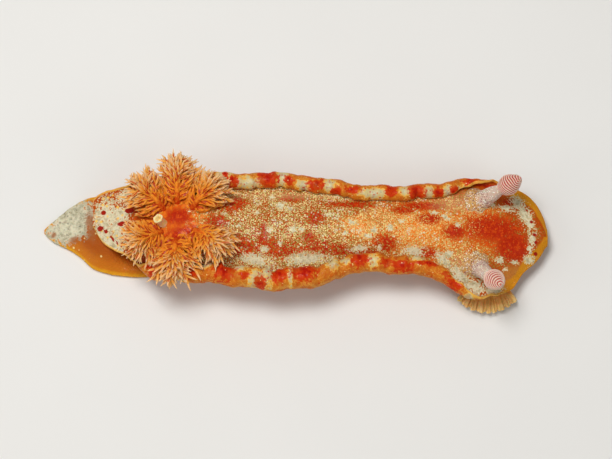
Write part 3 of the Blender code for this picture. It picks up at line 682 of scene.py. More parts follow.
class Wire:
    """A number that varies over a surface, with maths on it written as Python expressions."""

    def __init__(self, paint: Paint, socket: bpy.types.NodeSocket) -> None:
        """Wraps one output socket of a material's nodes."""
        self.paint = paint
        self.socket = socket

    def math(self, operation: str, *others: Wire | float) -> Wire:
        """One Math node on this number and others."""
        values = {index + 1: other for index, other in enumerate(others)}
        return self.paint.node("ShaderNodeMath", {"operation": operation}, {0: self, **values})

    def __add__(self, other: Wire | float) -> Wire:
        """This number and another added."""
        return self.math("ADD", other)

    __radd__ = __add__

    def __sub__(self, other: Wire | float) -> Wire:
        """This number less another."""
        return self.math("SUBTRACT", other)

    def __rsub__(self, other: float) -> Wire:
        """A number less this one."""
        return (self * -1) + other

    def __mul__(self, other: Wire | float) -> Wire:
        """This number times another."""
        return self.math("MULTIPLY", other)

    __rmul__ = __mul__

    def __truediv__(self, other: Wire | float) -> Wire:
        """This number divided by another."""
        return self.math("DIVIDE", other)

    def step(self, low: float | Wire, high: float | Wire) -> Wire:
        """Rises smoothly from 0 where this number is low to 1 where it is high."""
        settings = {"interpolation_type": "SMOOTHSTEP", "clamp": True}
        values = {"Value": self, "From Min": low, "From Max": high, "To Min": 0.0, "To Max": 1.0}
        return self.paint.node("ShaderNodeMapRange", settings, values)


Colour = tuple[float, float, float]


class Paint:
    """A material and the way its nodes are added."""

    def __init__(self, name: str) -> None:
        """Starts a material with a Principled shader."""
        self.material = bpy.data.materials.new(name)
        self.material.use_nodes = True
        self.tree = self.material.node_tree
        self.shader = self.tree.nodes["Principled BSDF"]

    def node(self, kind: str, settings: dict, inputs: dict, output: int | str = 0) -> Wire:
        """Adds one node.

        Args:
            kind: the node's type.
            settings: its own settings.
            inputs: a value or a wire for each socket, by name or number.
            output: the output that is wanted.

        Returns:
            That output.
        """
        made = self.tree.nodes.new(kind)
        for key, value in settings.items():
            setattr(made, key, value)
        for key, value in inputs.items():
            self.feed(made.inputs[key], value)
        return Wire(self, made.outputs[output])

    def feed(self, socket: bpy.types.NodeSocket, value: Any) -> None:
        """Sets a socket's value, or links a wire to it."""
        if isinstance(value, Wire):
            self.tree.links.new(value.socket, socket)
        elif isinstance(value, tuple) and len(value) == 3 and socket.type == "RGBA":
            socket.default_value = (*value, 1)
        else:
            socket.default_value = value

    def trait(self, name: str) -> Wire:
        """The numbers that a mesh keeps under this name."""
        return self.node("ShaderNodeAttribute", {"attribute_name": name}, {}, "Fac")

    def position(self) -> Wire:
        """The place on the object, in metres."""
        return self.node("ShaderNodeTexCoord", {}, {}, "Object")

    def noise(self, size: float, detail: float = 2.0, seed: float = 0.0, rough: float = 0.5) -> Wire:
        """Soft noise about 0.5, with lumps of about this size."""
        inputs = {"Vector": self.shifted(seed), "Scale": 1 / size, "Detail": detail, "Roughness": rough}
        return self.node("ShaderNodeTexNoise", {}, inputs, "Fac")

    def shifted(self, seed: float) -> Wire:
        """The place on the object, moved so that two patterns don't match."""
        settings = {"operation": "ADD"}
        inputs = {0: self.position(), 1: (seed * 0.37, seed * 0.71, seed * 0.13)}
        return self.node("ShaderNodeVectorMath", settings, inputs)

    def cells(self, size: float, seed: float = 0.0, loose: float = 1.0) -> tuple[Wire, Wire]:
        """Scattered points.

        Args:
            size: the distance between points.
            seed: which scatter.
            loose: how irregular it is, up to 1.

        Returns:
            The distance to the nearest point as a share of size, and a random number for it.
        """
        inputs = {"Vector": self.shifted(seed), "Scale": 1 / size, "Randomness": loose}
        distance = self.node("ShaderNodeTexVoronoi", {}, inputs, "Distance")
        colour = Wire(self, distance.socket.node.outputs["Color"])
        return distance, self.node("ShaderNodeSeparateColor", {}, {0: colour})

    def dots(self, size: float, radius: float, share: Wire | float, seed: float) -> Wire:
        """Scattered dots.

        Args:
            size: the distance between possible dots.
            radius: a dot's radius as a share of size.
            share: the share of the possible dots that are there.
            seed: which scatter.

        Returns:
            1 in the dots and 0 between them.
        """
        distance, chance = self.cells(size, seed)
        there = (chance * -1 + share).step(-0.03, 0.03)
        return (1 - distance.step(radius * 0.7, radius * 1.3)) * there

    def blend(self, share: Wire | float, first: Wire | Colour, second: Wire | Colour) -> Wire:
        """The first colour where share is 0, turning to the second where it is 1."""
        settings = {"data_type": "RGBA", "clamp_factor": True}
        return self.node("ShaderNodeMix", settings, {0: share, 6: first, 7: second}, 2)

    def coats(self, ground: Wire | Colour, *coats: tuple[Wire | float, Wire | Colour]) -> Wire:
        """The ground under coats, each given as how much of it shows and its colour."""
        for share, colour in coats:
            ground = self.blend(share, ground, colour)
        return ground

    def bump(self, height: Wire, depth: float) -> Wire:
        """A surface's small relief, of this depth in metres."""
        return self.node("ShaderNodeBump", {}, {"Height": height, "Distance": depth, "Strength": 1.0})

    def finish(self, **sockets: Any) -> bpy.types.Material:
        """Sets the shader's sockets, with underscores for spaces, and gives the material."""
        for name, value in sockets.items():
            self.feed(self.shader.inputs[name.replace("_", " ")], value)
        return self.material


@dataclass(frozen=True)
class Flesh:
    """What all the wet, slightly see-through flesh has in common."""

    see_through: float = 0.12
    red_depth: float = 0.7 * MM
    green_depth: float = 0.2 * MM
    blue_depth: float = 0.1 * MM
    roughness: float = 0.45
    gloss: float = 0.10
    wet: float = 0.06
    wet_roughness: float = 0.12

    def applied(
        self, paint: Paint, colour: Wire, relief: Wire, mottle: Wire, **more: Any
    ) -> bpy.types.Material:
        """Finishes a material as flesh.

        Args:
            paint: the material.
            colour: its colour.
            relief: its small relief.
            mottle: soft noise about 0.5, by which it is duller in some places than in others.
            more: values or wires for other sockets of the shader.

        Returns:
            The finished material.
        """
        return paint.finish(
            Base_Color=colour,
            Normal=relief,
            Roughness=(mottle - 0.5) * self.roughness + self.roughness,
            Subsurface_Weight=self.see_through,
            Subsurface_Radius=(self.red_depth, self.green_depth, self.blue_depth),
            Subsurface_Scale=1.0,
            Specular_IOR_Level=self.gloss,
            Coat_Weight=self.wet,
            Coat_Roughness=self.wet_roughness,
            IOR=1.38,
            **more,
        )


class Patterns:
    """The soft patterns and kept numbers that all zones of the skin share."""

    def __init__(self, paint: Paint, lump_size: float) -> None:
        """Lays the patterns over the skin."""
        self.paint = paint
        self.coarse = paint.noise(lump_size, 3.0, 1.0)
        self.fine = paint.noise(0.9 * MM, 3.0, 2.0, 0.6)
        self.grain = paint.cells(0.42 * MM, 3.0)[0]
        self.lumps = (self.coarse - 0.5) * 0.45 + (self.fine - 0.5) * 0.8
        self.from_edge = paint.trait("from_edge") / MM

    def mark(self, kind: Mark, ragged: Wire) -> Wire:
        """How strong one kind of marking is, with its outline made ragged."""
        return self.paint.trait(kind.value) + ragged


@dataclass(frozen=True)
class SkinFinish:
    """The mantle, back, foot and tail: red-orange ground, golden specks, red and white blotches."""

    flesh: Flesh = Flesh()
    orange: Colour = (0.46, 0.066, 0.003)
    red: Colour = (0.46, 0.020, 0.002)
    ember: Colour = (0.74, 0.10, 0.006)
    blotch_red: Colour = (0.60, 0.040, 0.002)
    blotch_core: Colour = (0.44, 0.008, 0.001)
    dot_red: Colour = (0.36, 0.014, 0.004)
    roll_orange: Colour = (0.66, 0.21, 0.016)
    roll_deep: Colour = (0.58, 0.10, 0.006)
    dusk: Colour = (0.46, 0.12, 0.012)
    line: Colour = (0.94, 0.58, 0.10)
    glow: Colour = (0.84, 0.20, 0.012)
    cream: Colour = (0.88, 0.76, 0.32)
    green_gold: Colour = (0.29, 0.22, 0.03)
    amber: Colour = (0.94, 0.56, 0.16)
    white: Colour = (0.76, 0.70, 0.48)
    white_shade: Colour = (0.44, 0.36, 0.20)
    roll_white: Colour = (0.66, 0.52, 0.23)
    # Haze colour, also used for the painted shade in the furrow under the left roll.
    haze: Colour = (0.60, 0.25, 0.11)
    tan: Colour = (0.50, 0.17, 0.026)
    front_margin: Colour = (0.62, 0.24, 0.008)
    flange: Colour = (0.58, 0.17, 0.010)
    # Painted shade of the flange under the mantle's lip.
    flange_painted_shade: Colour = (0.40, 0.085, 0.006)
    flange_rim: Colour = (0.74, 0.34, 0.014)
    tail_white: Colour = (0.72, 0.69, 0.50)
    tail_shade: Colour = (0.30, 0.28, 0.17)
    tail_grey: Colour = (0.20, 0.19, 0.13)
    # Brown of the tail's haze, partly painted shadow under the mantle's rear lip.
    brown_and_shade: Colour = (0.36, 0.12, 0.035)
    speck_size: float = 0.46 * MM
    lump_size: float = 4.5 * MM

    def material(self) -> bpy.types.Material:
        """Builds the finish from the traits that the skin keeps."""
        paint = Paint("slug skin")
        at = Patterns(paint, self.lump_size)
        under, foot = (paint.trait(name).step(0.3, 0.7) for name in ("under", "foot"))
        colour = paint.coats(self.back(at), (under, self.roll(at)), (foot, self.tail(at)))
        height = (1 - at.grain.step(0.05, 0.6)) * 0.7 + at.fine * 0.9 + paint.noise(2.2 * MM, 2.0, 6.0)
        return self.flesh.applied(paint, colour, paint.bump(height, 0.10 * MM), at.fine)

    def specks(self, paint: Paint, ground: Wire, density: Wire, glow: Wire) -> Wire:
        """Lays golden and cream specks over the ground, and white flecks in clusters.

        Args:
            paint: the material.
            ground: the colour below them.
            density: how densely they lie, from 0 to 1.
            glow: where they turn amber, from 0 to 1.

        Returns:
            The colour.
        """
        for seed, share in ((7.0, 0.52), (8.0, 1.0), (10.0, 0.72)):
            distance, chance = paint.cells(self.speck_size * share, seed)
            there = (density - chance).step(-0.04, 0.04)
            tone = paint.blend((chance * 1.7).step(0.25, 0.95), self.green_gold, self.cream)
            tone = paint.blend(glow * 0.6, tone, self.amber)
            ground = paint.blend((1 - distance.step(0.28, 0.50)) * there, ground, tone)
        cluster = (paint.noise(2.2 * MM, 2.0, 16.0) - 0.5) * 2.6
        bright = paint.dots(0.5 * MM, 0.42, density * 0.3 + cluster - 0.12, 9.0) * density.step(0.1, 0.4)
        return paint.blend(bright * 0.85, ground, self.white)

    def pale(self, at: Patterns) -> Wire:
        """The white patches' colour, clouded with a duller shade."""
        cloud = (at.lumps + (at.fine - 0.5) * 1.2 + 0.4).step(0.25, 0.85)
        return at.paint.blend(cloud, self.white, self.white_shade)

    def back(self, at: Patterns) -> Wire:
        """The upper face's colour.

        Args:
            at: the skin's shared patterns.

        Returns:
            The colour.
        """
        paint, lumps = at.paint, at.lumps
        red = at.mark(Mark.RED, lumps).step(0.3, 0.75)
        glow = at.mark(Mark.GLOW, lumps).step(0.1, 1.0)
        tan = at.mark(Mark.TAN, lumps * 0.2).step(0.3, 0.7)
        deep = paint.blend(at.fine.step(0.48, 0.68) * 0.55, self.red, self.ember)
        ember = paint.dots(0.5 * MM, 0.4, 0.5, 26.0) * (at.fine - 0.5).step(-0.14, 0.12)
        ahead = paint.trait("ahead")
        margin = (1 - (at.from_edge + lumps * 1.2).step(2.1, 3.0)) * ahead
        ground = paint.coats(
            paint.blend(glow, self.orange, self.glow),
            (red, deep),
            (ember * (glow * 0.4 + 0.45), self.ember),
            ((paint.trait("streak") + lumps * 0.5).step(0.35, 0.9) * 0.75, self.glow),
            # Haze patches, one of them a long band of painted shade in the furrow under the left roll.
            (at.mark(Mark.HAZE, lumps * 0.45).step(0.25, 0.9) * 0.7, self.haze),
            (tan, self.tan),
            (margin, self.front_margin),
        )
        density = paint.trait(Mark.SPECK.value) * 0.86 + (at.coarse - 0.5) * 0.9 - red * 0.52
        ground = self.specks(paint, ground, density * (1 - tan) * (1 - margin), glow)
        white_field = at.mark(Mark.WHITE, lumps + (0.42 - at.grain) * 0.75)
        border = (1 - (at.from_edge + lumps * 0.5).step(0.1, 0.3)) * (1 - ahead)
        return paint.coats(
            ground,
            (white_field.step(0.34, 0.5) * 0.4, self.cream),
            (white_field.step(0.44, 0.62) * 0.93, self.pale(at)),
            (border * 0.55, self.line),
            (paint.dots(1.3 * MM, 0.26, 0.5, 21.0) * paint.trait("lip") * 0.85, self.line),
            (at.mark(Mark.DOT, lumps * 0.5).step(0.4, 0.55), self.dot_red),
        )

    def roll(self, at: Patterns) -> Wire:
        """The colour of the mantle's under side, which the roll shows, and of the flanks.

        Args:
            at: the skin's shared patterns.

        Returns:
            The colour.
        """
        paint, fine, lumps = at.paint, at.fine - 0.5, at.lumps
        ragged = lumps * 1.1 + fine * 0.5
        white_field, red_field = at.mark(Mark.WHITE, ragged), at.mark(Mark.RED, ragged)
        band = 1 - (at.from_edge + lumps * 1.6 - 5.9).math("ABSOLUTE").step(0.0, 0.8)
        vessel = 1 - (paint.noise(1.5 * MM, 2.0, 31.0) - 0.5).math("ABSOLUTE").step(0.0, 0.035)
        stained = white_field.step(0.40, 0.6) * 0.8
        near = 1 - at.from_edge.step(4.0, 7.0)
        return paint.coats(
            paint.blend((lumps + 0.5).step(0.3, 0.7), self.roll_orange, self.roll_deep),
            (band * 0.3, self.line),
            (vessel * 0.35, self.line),
            (white_field.step(0.26, 0.36) * 0.7, self.line),
            (white_field.step(0.38, 0.54), self.roll_white),
            ((white_field + fine * 0.8).step(0.62, 1.05), self.pale(at)),
            (paint.dots(1.3 * MM, 0.24, 0.5, 22.0) * stained, self.roll_orange),
            (paint.dots(0.8 * MM, 0.24, 0.5, 25.0) * stained, self.blotch_red),
            (red_field.step(0.36, 0.60), self.blotch_red),
            (red_field.step(0.72, 1.0), self.blotch_core),
            (paint.noise(3.2 * MM, 3.0, 27.0, 0.6).step(0.5, 0.72) * 0.45, self.dusk),
            (paint.dots(1.2 * MM, 0.2, 0.3, 11.0) * near, self.blotch_red),
            (paint.dots(0.9 * MM, 0.13, 0.35, 23.0) * near, self.cream),
            ((1 - (at.from_edge + fine * 0.5).step(0.1, 0.4)) * 0.6, self.line),
        )

    def tail(self, at: Patterns) -> Wire:
        """The foot's and the tail's colour, with painted shade on the flange under the mantle's lip.

        Args:
            at: the skin's shared patterns.

        Returns:
            The colour.
        """
        paint, lumps = at.paint, at.lumps
        # Painted shade: the flange darkens inward from the foot's edge, where the mantle's lip shades it.
        shade = (at.from_edge + lumps * 2.0).step(1.0, 5.0)
        rim = 1 - (at.from_edge + lumps * 0.6).step(0.2, 1.1)
        white = at.mark(Mark.WHITE, lumps * 0.7 + (at.fine - 0.5) * 0.4).step(0.40, 0.56)
        pale = paint.blend((lumps * 1.3 + 0.5).step(0.3, 0.85), self.tail_white, self.tail_shade)
        return paint.coats(
            paint.blend(shade, self.flange, self.flange_painted_shade),
            (rim * 0.9, self.flange_rim),
            (paint.dots(1.4 * MM, 0.18, 0.35, 12.0) * 0.8, self.cream),
            (white * 0.95, pale),
            (paint.dots(1.0 * MM, 0.26, 0.5, 13.0) * white * 0.6, self.tail_grey),
            (paint.dots(0.55 * MM, 0.26, 0.5, 24.0) * white * 0.6, self.tail_grey),
            # Brown haze; the band at the mantle's rear lip is partly painted shadow and partly brown skin.
            (at.mark(Mark.HAZE, lumps * 0.9).step(0.35, 0.8) * 0.8, self.brown_and_shade),
        )


@dataclass(frozen=True)
class GillFinish:
    """The gill plumes: see-through orange-tan, with a red line along each branch and pale tips."""

    flesh: Flesh = Flesh(see_through=0.3, red_depth=0.5 * MM, green_depth=0.3 * MM, blue_depth=0.15 * MM)
    root: Colour = (0.54, 0.045, 0.005)
    base: Colour = (0.88, 0.27, 0.02)
    pale: Colour = (0.95, 0.41, 0.075)
    tip: Colour = (0.99, 0.60, 0.29)
    vein: Colour = (0.44, 0.020, 0.004)
    clearness: float = 0.2

    def material(self) -> bpy.types.Material:
        """Builds the finish from how far out a point is and how near the vein."""
        paint = Paint("gill flesh")
        mottle = paint.noise(0.8 * MM, 2.0, 3.0)
        out = paint.trait("out") + (mottle - 0.5) * 0.35
        vein = paint.trait("vein").step(0.1, 0.5) * (mottle + 0.16).step(0.4, 0.55)
        colour = paint.coats(
            self.root,
            (out.step(0.0, 0.2), self.base),
            (out.step(0.35, 0.65), self.pale),
            (out.step(0.62, 0.95), self.tip),
            (vein * 0.9, self.vein),
        )
        cover = 1 - out.step(0.2, 0.8) * (1 - vein) * self.clearness
        return self.flesh.applied(paint, colour, paint.bump(mottle, 0.05 * MM), mottle, Alpha=cover)


@dataclass(frozen=True)
class ClubFinish:
    """The rhinophore clubs: red-pink grooves between white lamella edges."""

    flesh: Flesh = Flesh(see_through=0.3, roughness=0.38)
    groove: Colour = (0.50, 0.08, 0.066)
    crest: Colour = (0.80, 0.58, 0.46)

    def material(self) -> bpy.types.Material:
        """Builds the finish from how near a point is to a lamella's edge."""
        paint = Paint("rhinophore club")
        mottle = paint.noise(0.5 * MM, 2.0, 4.0)
        crest = (paint.trait("crest") + (mottle - 0.5) * 0.3).step(0.4, 0.75)
        colour = paint.blend(crest, self.groove, self.crest)
        return self.flesh.applied(paint, colour, paint.bump(mottle, 0.03 * MM), mottle)


@dataclass(frozen=True)
class StalkFinish:
    """The rhinophore stalks and collars: milky, with white and purple specks, yellow at the base."""

    flesh: Flesh = Flesh(see_through=0.35)
    ground: Colour = (0.62, 0.46, 0.36)
    white: Colour = (0.90, 0.87, 0.74)
    purple: Colour = (0.26, 0.08, 0.08)
    yellow: Colour = (0.60, 0.32, 0.09)

    def material(self) -> bpy.types.Material:
        """Builds the finish from the height above the stalk's base."""
        paint = Paint("rhinophore stalk")
        rise = paint.trait("rise")
        mottle = paint.noise(0.7 * MM, 2.0, 5.0)
        dark = paint.dots(0.44 * MM, 0.35, 0.75, 15.0) * (1 - rise.step(0.45, 0.8))
        colour = paint.coats(
            self.ground,
            (1 - (rise + (mottle - 0.5) * 0.5).step(0.05, 0.35), self.yellow),
            (paint.dots(0.4 * MM, 0.34, 0.85, 14.0), self.white),
            (dark * 0.85, self.purple),
        )
        return self.flesh.applied(paint, colour, paint.bump(mottle, 0.06 * MM), mottle)


@dataclass(frozen=True)
class PlainFleshFinish:
    """Flesh of two near colours in soft mottles, paler towards a free edge, with painted shade in sunken
    folds where a piece marks them.
    """

    name: str
    first: Colour
    second: Colour
    edge: Colour
    flesh: Flesh = Flesh(see_through=0.4)

    def material(self) -> bpy.types.Material:
        """Builds the finish from how far out a point is."""
        paint = Paint(self.name)
        mottle = paint.noise(1.2 * MM, 3.0, 6.0, 0.6)
        colour = paint.coats(
            self.first,
            (mottle.step(0.35, 0.65), self.second),
            ((paint.trait("out") + (mottle - 0.5) * 0.25).step(0.7, 1.0), self.edge),
            # Painted shade: back towards the first colour, the darker one on the fan, where its folds sink.
            ((paint.trait("ray") * -1).step(0.1, 1.0) * 0.35, self.first),
        )
        return self.flesh.applied(paint, colour, paint.bump(mottle, 0.08 * MM), mottle)


@dataclass(frozen=True)
class FloorFinish:
    """A plain pale studio floor."""

    colour: Colour = (0.81, 0.80, 0.77)
    shade: Colour = (0.78, 0.77, 0.74)

    def material(self) -> bpy.types.Material:
        """Builds the finish."""
        paint = Paint("pale floor")
        tone = paint.noise(40 * MM, 2.0)
        colour = paint.blend(tone, self.colour, self.shade)
        return paint.finish(Base_Color=colour, Roughness=tone * 0.1 + 0.85)


# Finishing and declaring a piece


def dress(obj: bpy.types.Object, material: bpy.types.Material) -> None:
    """Gives an object its one material."""
    obj.data.materials.clear()
    obj.data.materials.append(material)


def finished(
    obj: bpy.types.Object, material: bpy.types.Material, crease: float = 180.0
) -> bpy.types.Object:
    """Shades a piece smooth up to a crease angle in degrees and gives it its material."""
    shade_smooth(obj, crease)
    dress(obj, material)
    return obj


def declare(obj: bpy.types.Object, nodes: Sequence[str]) -> None:
    """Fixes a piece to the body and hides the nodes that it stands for.

    Args:
        obj: the piece, in place.
        nodes: the nodes that it stands for.
    """
    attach(obj, BODY)
    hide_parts(*nodes)
    triangles = sum(len(face.vertices) - 2 for face in obj.data.polygons)
    LOG.info("%s: %d triangles", obj.name, triangles)


# The skin


@dataclass(frozen=True)
class Patch:
    """One marking, an uneven oval at a place seen from above, in millimetres."""

    x: float
    y: float
    long: float
    wide: float
    turn: float = 0.0

    def strength(self, x: np.ndarray, y: np.ndarray) -> np.ndarray:
        """How strong the marking is: 1 at its middle, 0.5 at its outline and 0 well outside.

        Args:
            x: the points' places along the body.
            y: the points' places across it.

        Returns:
            The strength at each point.
        """
        angle = math.radians(self.turn)
        east, north = x / MM - self.x, y / MM - self.y
        along = (east * math.cos(angle) + north * math.sin(angle)) / (self.long / 2)
        across = (north * math.cos(angle) - east * math.sin(angle)) / (self.wide / 2)
        return np.clip(1 - 0.5 * np.hypot(along, across), 0, 1)


Patches = tuple[Patch, ...]


def patches(*places: tuple[float, ...]) -> Patches:
    """Patches from their places, lengths, widths and turns."""
    return tuple(Patch(*place) for place in places)


@dataclass(frozen=True)
class Markings:
    """Where the larger markings lie: on the back, on each roll and on the tail."""

    back_red: Patches = patches(
        (4.4, 3, 5, 4), (2.7, -1.8, 3, 3), (-7.9, -1.1, 3, 6), (-14.3, 6.5, 6, 4, 30),
        (20.9, -2.8, 6, 4), (31.5, 3.3, 6, 3), (37.4, 0.1, 6, 4), (-5, -4, 6, 4), (3, -5, 8, 2.5),
        (-18.5, 1.6, 5, 5), (-12, -4.5, 9, 4), (9.4, -4.6, 8, 3), (30.4, -4.8, 7, 2.5),
        (-28, 3.4, 8, 5), (-26.6, -1, 9, 5, 10), (46.5, 1, 14, 8), (-1, 8, 8, 2), (51, -2.5, 9, 8),
        (50.4, 8.4, 3, 1.6), (45.2, 12.2, 5, 0.9), (30, 6.5, 12, 2.5), (13, 6.6, 14, 2),
        (-14, -3.2, 8, 4), (-3, -4.8, 10, 3.4), (6, -4, 7, 3.4), (16, -5, 9, 2.6), (-19, 6.4, 5, 3),
        (25.4, 5.4, 6, 2.4),
    )
    back_white: Patches = patches(
        (-9.8, -6.7, 8, 2.6, -8), (2.5, -6.6, 11, 2.4, 3), (15, -4, 4, 1.6), (27.5, -4.6, 6, 2),
        (34.6, -6.2, 4, 2, -35), (38.4, -10, 6, 3.4, -42), (42, -12.6, 7, 3.6, -20),
        (46.4, -13.4, 5, 2.2, 8), (52.8, 8.3, 4.4, 3.6, -40), (54.4, 5.4, 3.4, 4.6, 25),
        (55.5, 2.8, 2.8, 4, 15), (56, -0.6, 2, 4), (55.4, -3, 1.6, 2.6), (55.3, -5.6, 2.6, 2.6),
        (50, 6.6, 5, 1.9, -12), (49.4, -8.2, 1.4, 1), (46.4, 7.2, 3, 1.4, 20), (-5.8, 8.4, 1.6, 1.6),
        (-3.9, 6.2, 2.2, 2.2), (-0.8, 0.1, 2, 1.6), (1.1, 0.1, 1.6, 1.4), (-6.2, -0.1, 2, 1.4),
        (-3.9, -3.3, 1.4, 1.4), (-7.4, -4.5, 2, 1.4), (22.1, 0.6, 1.8, 1.6), (16.9, -1.3, 2, 1.2),
        (18.3, 0.1, 1.4, 1.4), (13.1, 2.1, 1.8, 1.4), (19.3, -3.8, 1.4, 1.4), (48.1, -6.2, 2.2, 1.5),
        (36, -5, 2, 1.2), (51.8, -6.4, 2, 1), (32.6, 4.8, 1.8, 1.1), (35.4, 3.6, 2.6, 1.1, -30),
        (38.2, 1.8, 1.4, 1.1), (43.4, 5.2, 1.6, 0.9), (-9.4, 4.4, 1.6, 1.2), (-1.6, 5.4, 1.6, 1.1),
        (-25.4, 4.6, 1.2, 0.8), (-17, 4, 1.2, 0.8), (-13.6, 1, 1.3, 0.9), (-17.6, -3, 1.4, 0.8),
        (7.6, 3.8, 1.6, 1.2), (11.4, -0.8, 1.8, 1.1), (24.8, 2.4, 1.4, 1), (-41.8, 5.4, 5, 5),
        (-42.6, 2, 4, 6), (-40, -0.8, 7, 3.4, -25), (-45, 5, 8, 10), (-44, -1.6, 9, 6, -45),
        (-46, 2, 5, 10), (-37, -2.6, 6, 3, -20), (-37.6, 8.8, 8, 3, 15), (-41, 9.8, 5, 3, 15),
    )
    back_dots: Patches = patches(
        (-46, 5.9, 1.3, 1.2), (-46.7, 2.1, 1.5, 1.2), (-45.3, 1.2, 0.9, 0.9), (-43.6, -0.7, 0.8, 0.8),
        (-42.7, -1.6, 0.7, 0.7), (-44.2, 0, 0.6, 0.6), (-41.5, -2.4, 0.8, 0.7), (-39.6, 5.9, 2.4, 1.3),
        (-41.5, 2.7, 2, 1.1), (-38.4, 2, 3.4, 1.4, -25), (56, 3.6, 0.8, 0.8), (56.6, 0.4, 0.9, 0.8),
        (56.9, -1.4, 0.8, 0.8), (56.8, -4, 1.1, 0.9), (55, 6.4, 0.7, 0.7),
    )
    # Haze on the back; the long band at y 8.7 mm is painted shade in the furrow under the left roll.
    back_haze: Patches = patches(
        (38, 7.6, 12, 5, 5), (37.6, -8, 8, 6), (-23.4, 6.2, 5, 2.6), (6, 8.7, 60, 2),
    )
    back_tan: Patches = patches((51, -10, 8, 5, 38), (47.4, -12, 5, 4))
    back_glow: Patches = patches((31, 1, 26, 14), (15, 1, 10, 6), (44, 2, 10, 14), (-28, 2, 11, 10))
    left_red: Patches = patches(
        (-39, 9.2, 4, 3), (-30.2, 12.6, 2.6, 2.4), (-16.8, 13.8, 1.6, 1.6), (-15.1, 12.1, 2.4, 3),
        (-6.9, 12.8, 4.6, 4.4), (-1.7, 12, 1.8, 2.6), (4.5, 11, 4, 3), (9.4, 9.5, 2.6, 1.6),
        (13.3, 9.8, 4, 2), (22.5, 9.7, 2.8, 3), (28.5, 9.6, 4, 3), (33.6, 9.6, 2.6, 2.6),
        (37.4, 10.4, 1.8, 1.8), (41.6, 12.4, 3.4, 2), (47, 13, 4, 1),
    )
    left_white: Patches = patches(
        (-11.4, 11.6, 6, 2.6), (-3.3, 13, 2.6, 4), (1.6, 10.9, 3, 2.4), (7.7, 10.8, 2.6, 2.6),
        (18, 9, 6, 2.2), (25.6, 9.6, 2.4, 2), (31.5, 9.6, 2.4, 2.4), (35.9, 9.9, 2.2, 2.6),
        (39.4, 10, 2.4, 3), (-35, 12, 4, 2), (-22, 12, 5, 2), (-17, 13.8, 3.6, 3.4),
    )
    right_red: Patches = patches(
        (-39, -6.4, 1.4, 1.4), (-32.8, -6.6, 1.7, 1.4), (-34.5, -8.2, 1.8, 1.6),
        (-33.9, -9.9, 1.8, 1.6), (-24.8, -10.3, 3, 3), (-16.8, -10, 5, 5), (-12.3, -11.2, 2.4, 1.6),
        (-8.3, -13, 3.2, 3), (-4, -10.6, 3.4, 4.4), (2, -10.2, 6, 4.2), (14.8, -7, 4.4, 3.4),
        (21.3, -7.8, 2.4, 2.4), (24.6, -8.6, 4.6, 3), (30.8, -7.9, 5, 1.2), (35, -10.4, 2, 2, -50),
        (37, -12.6, 3.2, 4, 35), (47.4, -15.2, 2.4, 0.9), (43.6, -15.8, 1, 0.9),
    )
    right_white: Patches = patches(
        (-6.6, -10.3, 2.4, 2.8), (-1.4, -11, 0.9, 5), (-13.7, -9, 3, 2), (8.6, -8.4, 2.6, 2.4),
        (11.5, -7.6, 2.4, 1.6), (17.9, -7.3, 2.4, 2.6), (34.3, -7.2, 2.4, 1.6), (40.5, -15.6, 2.2, 1.6),
        (28.6, -6.6, 3, 1.2), (45.4, -15.6, 2.4, 1), (-29, -11.5, 4, 1.6), (-22, -8, 4, 2),
        (-8.6, -12.7, 4.6, 4.6),
    )
    tail_white: Patches = patches((-54.2, 4.6, 13, 9, 36))
    # Haze on the tail; the band at x -49.3 mm, under the mantle's rear lip, is partly painted shadow of the
    # lip and partly brown skin.
    tail_haze: Patches = patches(
        (-58.2, 1.6, 1.4, 1.6), (-53.2, 0.2, 3, 2, 20), (-49.3, 3.4, 2.4, 8, 10),
    )
    speck_back: Profile = Profile((
        (-38, 0.12), (-31, 0.14), (-28, 0.22), (-25, 0.5), (-20, 0.82), (-10, 0.96), (12, 0.96),
        (22, 0.82), (32, 0.74), (38, 0.66), (46, 0.6), (60, 0.5),
    ))

    def kinds(self) -> Iterable[tuple[Mark, tuple[Patches, ...]]]:
        """Each kind of marking with its patches on the back, left roll, right roll and foot."""
        return (
            (Mark.RED, (self.back_red, self.left_red, self.right_red, ())),
            (Mark.WHITE, (self.back_white, self.left_white, self.right_white, self.tail_white)),
            (Mark.DOT, (self.back_dots, (), (), ())),
            (Mark.HAZE, (self.back_haze, (), (), self.tail_haze)),
            (Mark.TAN, (self.back_tan, (), (), ())),
            (Mark.GLOW, (self.back_glow, (), (), ())),
        )


